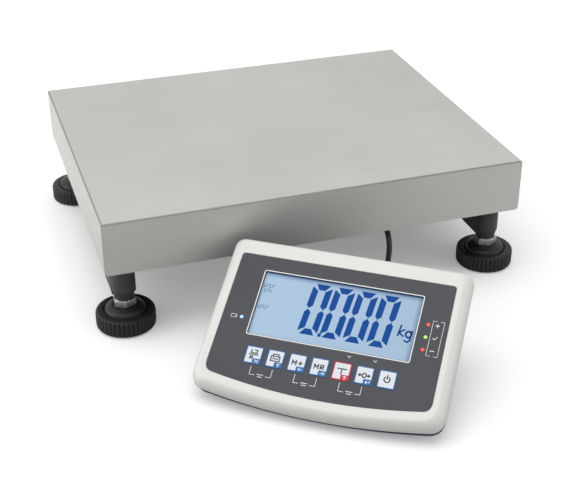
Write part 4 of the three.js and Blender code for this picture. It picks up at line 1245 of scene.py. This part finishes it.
def keys():
    """Seven raised keys: a coloured border, a white field, a sign and a small second sign in a tab."""
    tab_u, tab_v = KEY_WIDTH / 2 - 4.6, -KEY_HEIGHT / 2 + 3.2
    top = 0.62
    signs, tabs = key_signs(), (*tab_signs(), None)
    for i, (sign, tab) in enumerate(zip(signs, tabs)):
        red = i == 4
        colour = 2 if red else 1
        cap = Build("key", "blue", "red", "dark_print", "print")
        cap.pad(round_box(KEY_WIDTH, KEY_HEIGHT, 1.3, 4), -3.8, top, 0.45, colour)
        cap.prism(round_box(KEY_WIDTH - 2.4, KEY_HEIGHT - 2.4, 0.8, 3), top - 0.1, top + 0.03)
        for line in sign:
            cap.stroke(line, 1.2, top, top + 0.055, 3)
        if tab:
            cap.prism(round_box(8.8, 6.0, 0.9, 3, (tab_u, tab_v)), top - 0.1, top + 0.06, colour)
            for line in tab:
                cap.stroke([(x + tab_u, y + tab_v) for x, y in line], 0.7, top, top + 0.08, 4)
        where = face_frame @ moved(KEY_U + (i - 3) * KEY_PITCH, KEY_V)
        name = f"key_{i + 1}"
        cap.piece(name + "_cap", where, name, [name], smooth=30)


def lamps():
    """The small lit lenses beside the screen, each with its soft edge."""
    rim = LENS_RADIUS
    profile = [
        (0, -3.8), (rim - 0.1, -3.8), (rim, -0.1), (rim - 0.1, 0.05), (rim - 0.6, 0.2), (0.7, 0.28), (0, 0.3),
    ]
    for name, u, v, finish, replaced in (
        ("tolerance_lamp_high", LAMP_U, LAMP_V + LAMP_PITCH, "red_lamp", ()),
        ("tolerance_lamp_right", LAMP_U, LAMP_V, "green_lamp", ["tolerance_lamps"]),
        ("tolerance_lamp_low", LAMP_U, LAMP_V - LAMP_PITCH, "red_lamp", ()),
        ("charge_lamp_lens", -LAMP_U, CHARGE_V, "blue_lamp", ["charge_lamp"]),
    ):
        lens = Build(finish)
        lens.turn(profile, 24)
        lens.piece(name, face_frame @ moved(u, v), "display", replaced)


def keep_cad_nodes():
    """The CAD pieces whose shape is right as it is get their finish here."""
    bolted = [f"load_cell_{level}_{part}" for level in ("lower", "upper") for part in ("spacer", "bolts")]
    for name, nodes in (
        ("zinc", (*bolted, "stand_hinge_pin")),
        ("paint", ("base_crossbar_front", "carrier_deck", "desk_stand")),
        ("black", ("cable_plug", "power_inlet")),
        ("rubber", ("display_front_pad",)),
        ("aluminium", ("load_cell",)),
        ("board", ("circuit_board",)),
        ("wrap", ("battery",)),
    ):
        for node in nodes:
            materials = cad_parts[node].data.materials
            materials.clear()
            materials.append(FINISH[name])


# ---- studio --------------------------------------------------------------


def floor_material():
    """A pale floor. What it throws back at the metal is lighter behind and at the sides than in front."""
    material, tree, shader = new_material("studio_floor", 0.9)
    across, onward, _ = parts(tree, own_place(tree))
    behind = ramp(tree, onward, -0.2, 0.25, 0.42, 0.88)
    right = ramp(tree, across, -0.3, 0.5, 0.0, 0.12)
    thrown = plus(tree, behind, right)
    seen = tree.nodes.new("ShaderNodeLightPath").outputs["Is Camera Ray"]
    value = tree.nodes.new("ShaderNodeMix")
    for index, given in ((0, seen), (2, thrown), (3, 0.95)):
        feed(tree, value.inputs[index], given)
    grey = tree.nodes.new("ShaderNodeCombineColor")
    for socket in grey.inputs:
        tree.links.new(value.outputs[0], socket)
    tree.links.new(grey.outputs[0], shader.inputs["Base Color"])
    shader.inputs["Emission Color"].default_value = (1, 1, 1, 1)
    tree.links.new(times(tree, seen, 0.22), shader.inputs["Emission Strength"])
    return material


def softbox(name, spot, size, power, colour=(1, 1, 1)):
    """A square lamp of that size in metres, turned to the middle of the scale."""
    data = bpy.data.lights.new(name, "AREA")
    data.shape = "RECTANGLE"
    data.size, data.size_y = size, size
    data.energy = power
    data.color = colour
    light = bpy.data.objects.new(name, data)
    light.location = spot
    aim = Vector((0, 0.05, 0.05)) - Vector(spot)
    light.rotation_euler = aim.to_track_quat("-Z", "Y").to_euler()
    bpy.context.collection.objects.link(light)


def studio():
    """The floor, the soft light of the room and three softboxes."""
    floor = Build("print")
    reach = 6000
    corners = [(-reach, -reach, -1), (reach, -reach, -1), (reach, reach, -1), (-reach, reach, -1)]
    floor.add(corners, [(0, 1, 2, 3)])
    ground = floor.piece("studio_floor", Matrix.Identity(4), None)
    ground.data.materials.clear()
    ground.data.materials.append(floor_material())
    world = bpy.data.worlds.new("studio")
    world.use_nodes = True
    tree = world.node_tree
    back = tree.nodes["Background"]
    across, onward, _ = parts(tree, tree.nodes.new("ShaderNodeTexCoord").outputs["Generated"])
    depth = ramp(tree, onward, -0.7, 0.3, 0.48, 0.64)
    side = ramp(tree, across, -0.9, 0.2, 1.5, 1.0)
    tree.links.new(times(tree, depth, side), back.inputs["Strength"])
    back.inputs["Color"].default_value = (0.985, 0.99, 1.0, 1)
    bpy.context.scene.world = world
    softbox("overhead", (-0.3, -0.2, 2.4), 2.0, 17)
    softbox("left_bank", (-2.4, 0.5, 0.9), 1.8, 16, (0.97, 0.99, 1.0))
    softbox("right_fill", (2.0, -1.4, 0.8), 1.4, 9)


place_camera()
cable()
weighing_plate()
side_frames()
cross_members()
levelling_feet()
bumpers_and_stops()
bubble_level()
cable_gland()
top_shell()
bottom_shell()
face_panel()
screen()
keys()
lamps()
keep_cad_nodes()
studio()
bpy.context.scene.view_settings.view_transform = "Standard"
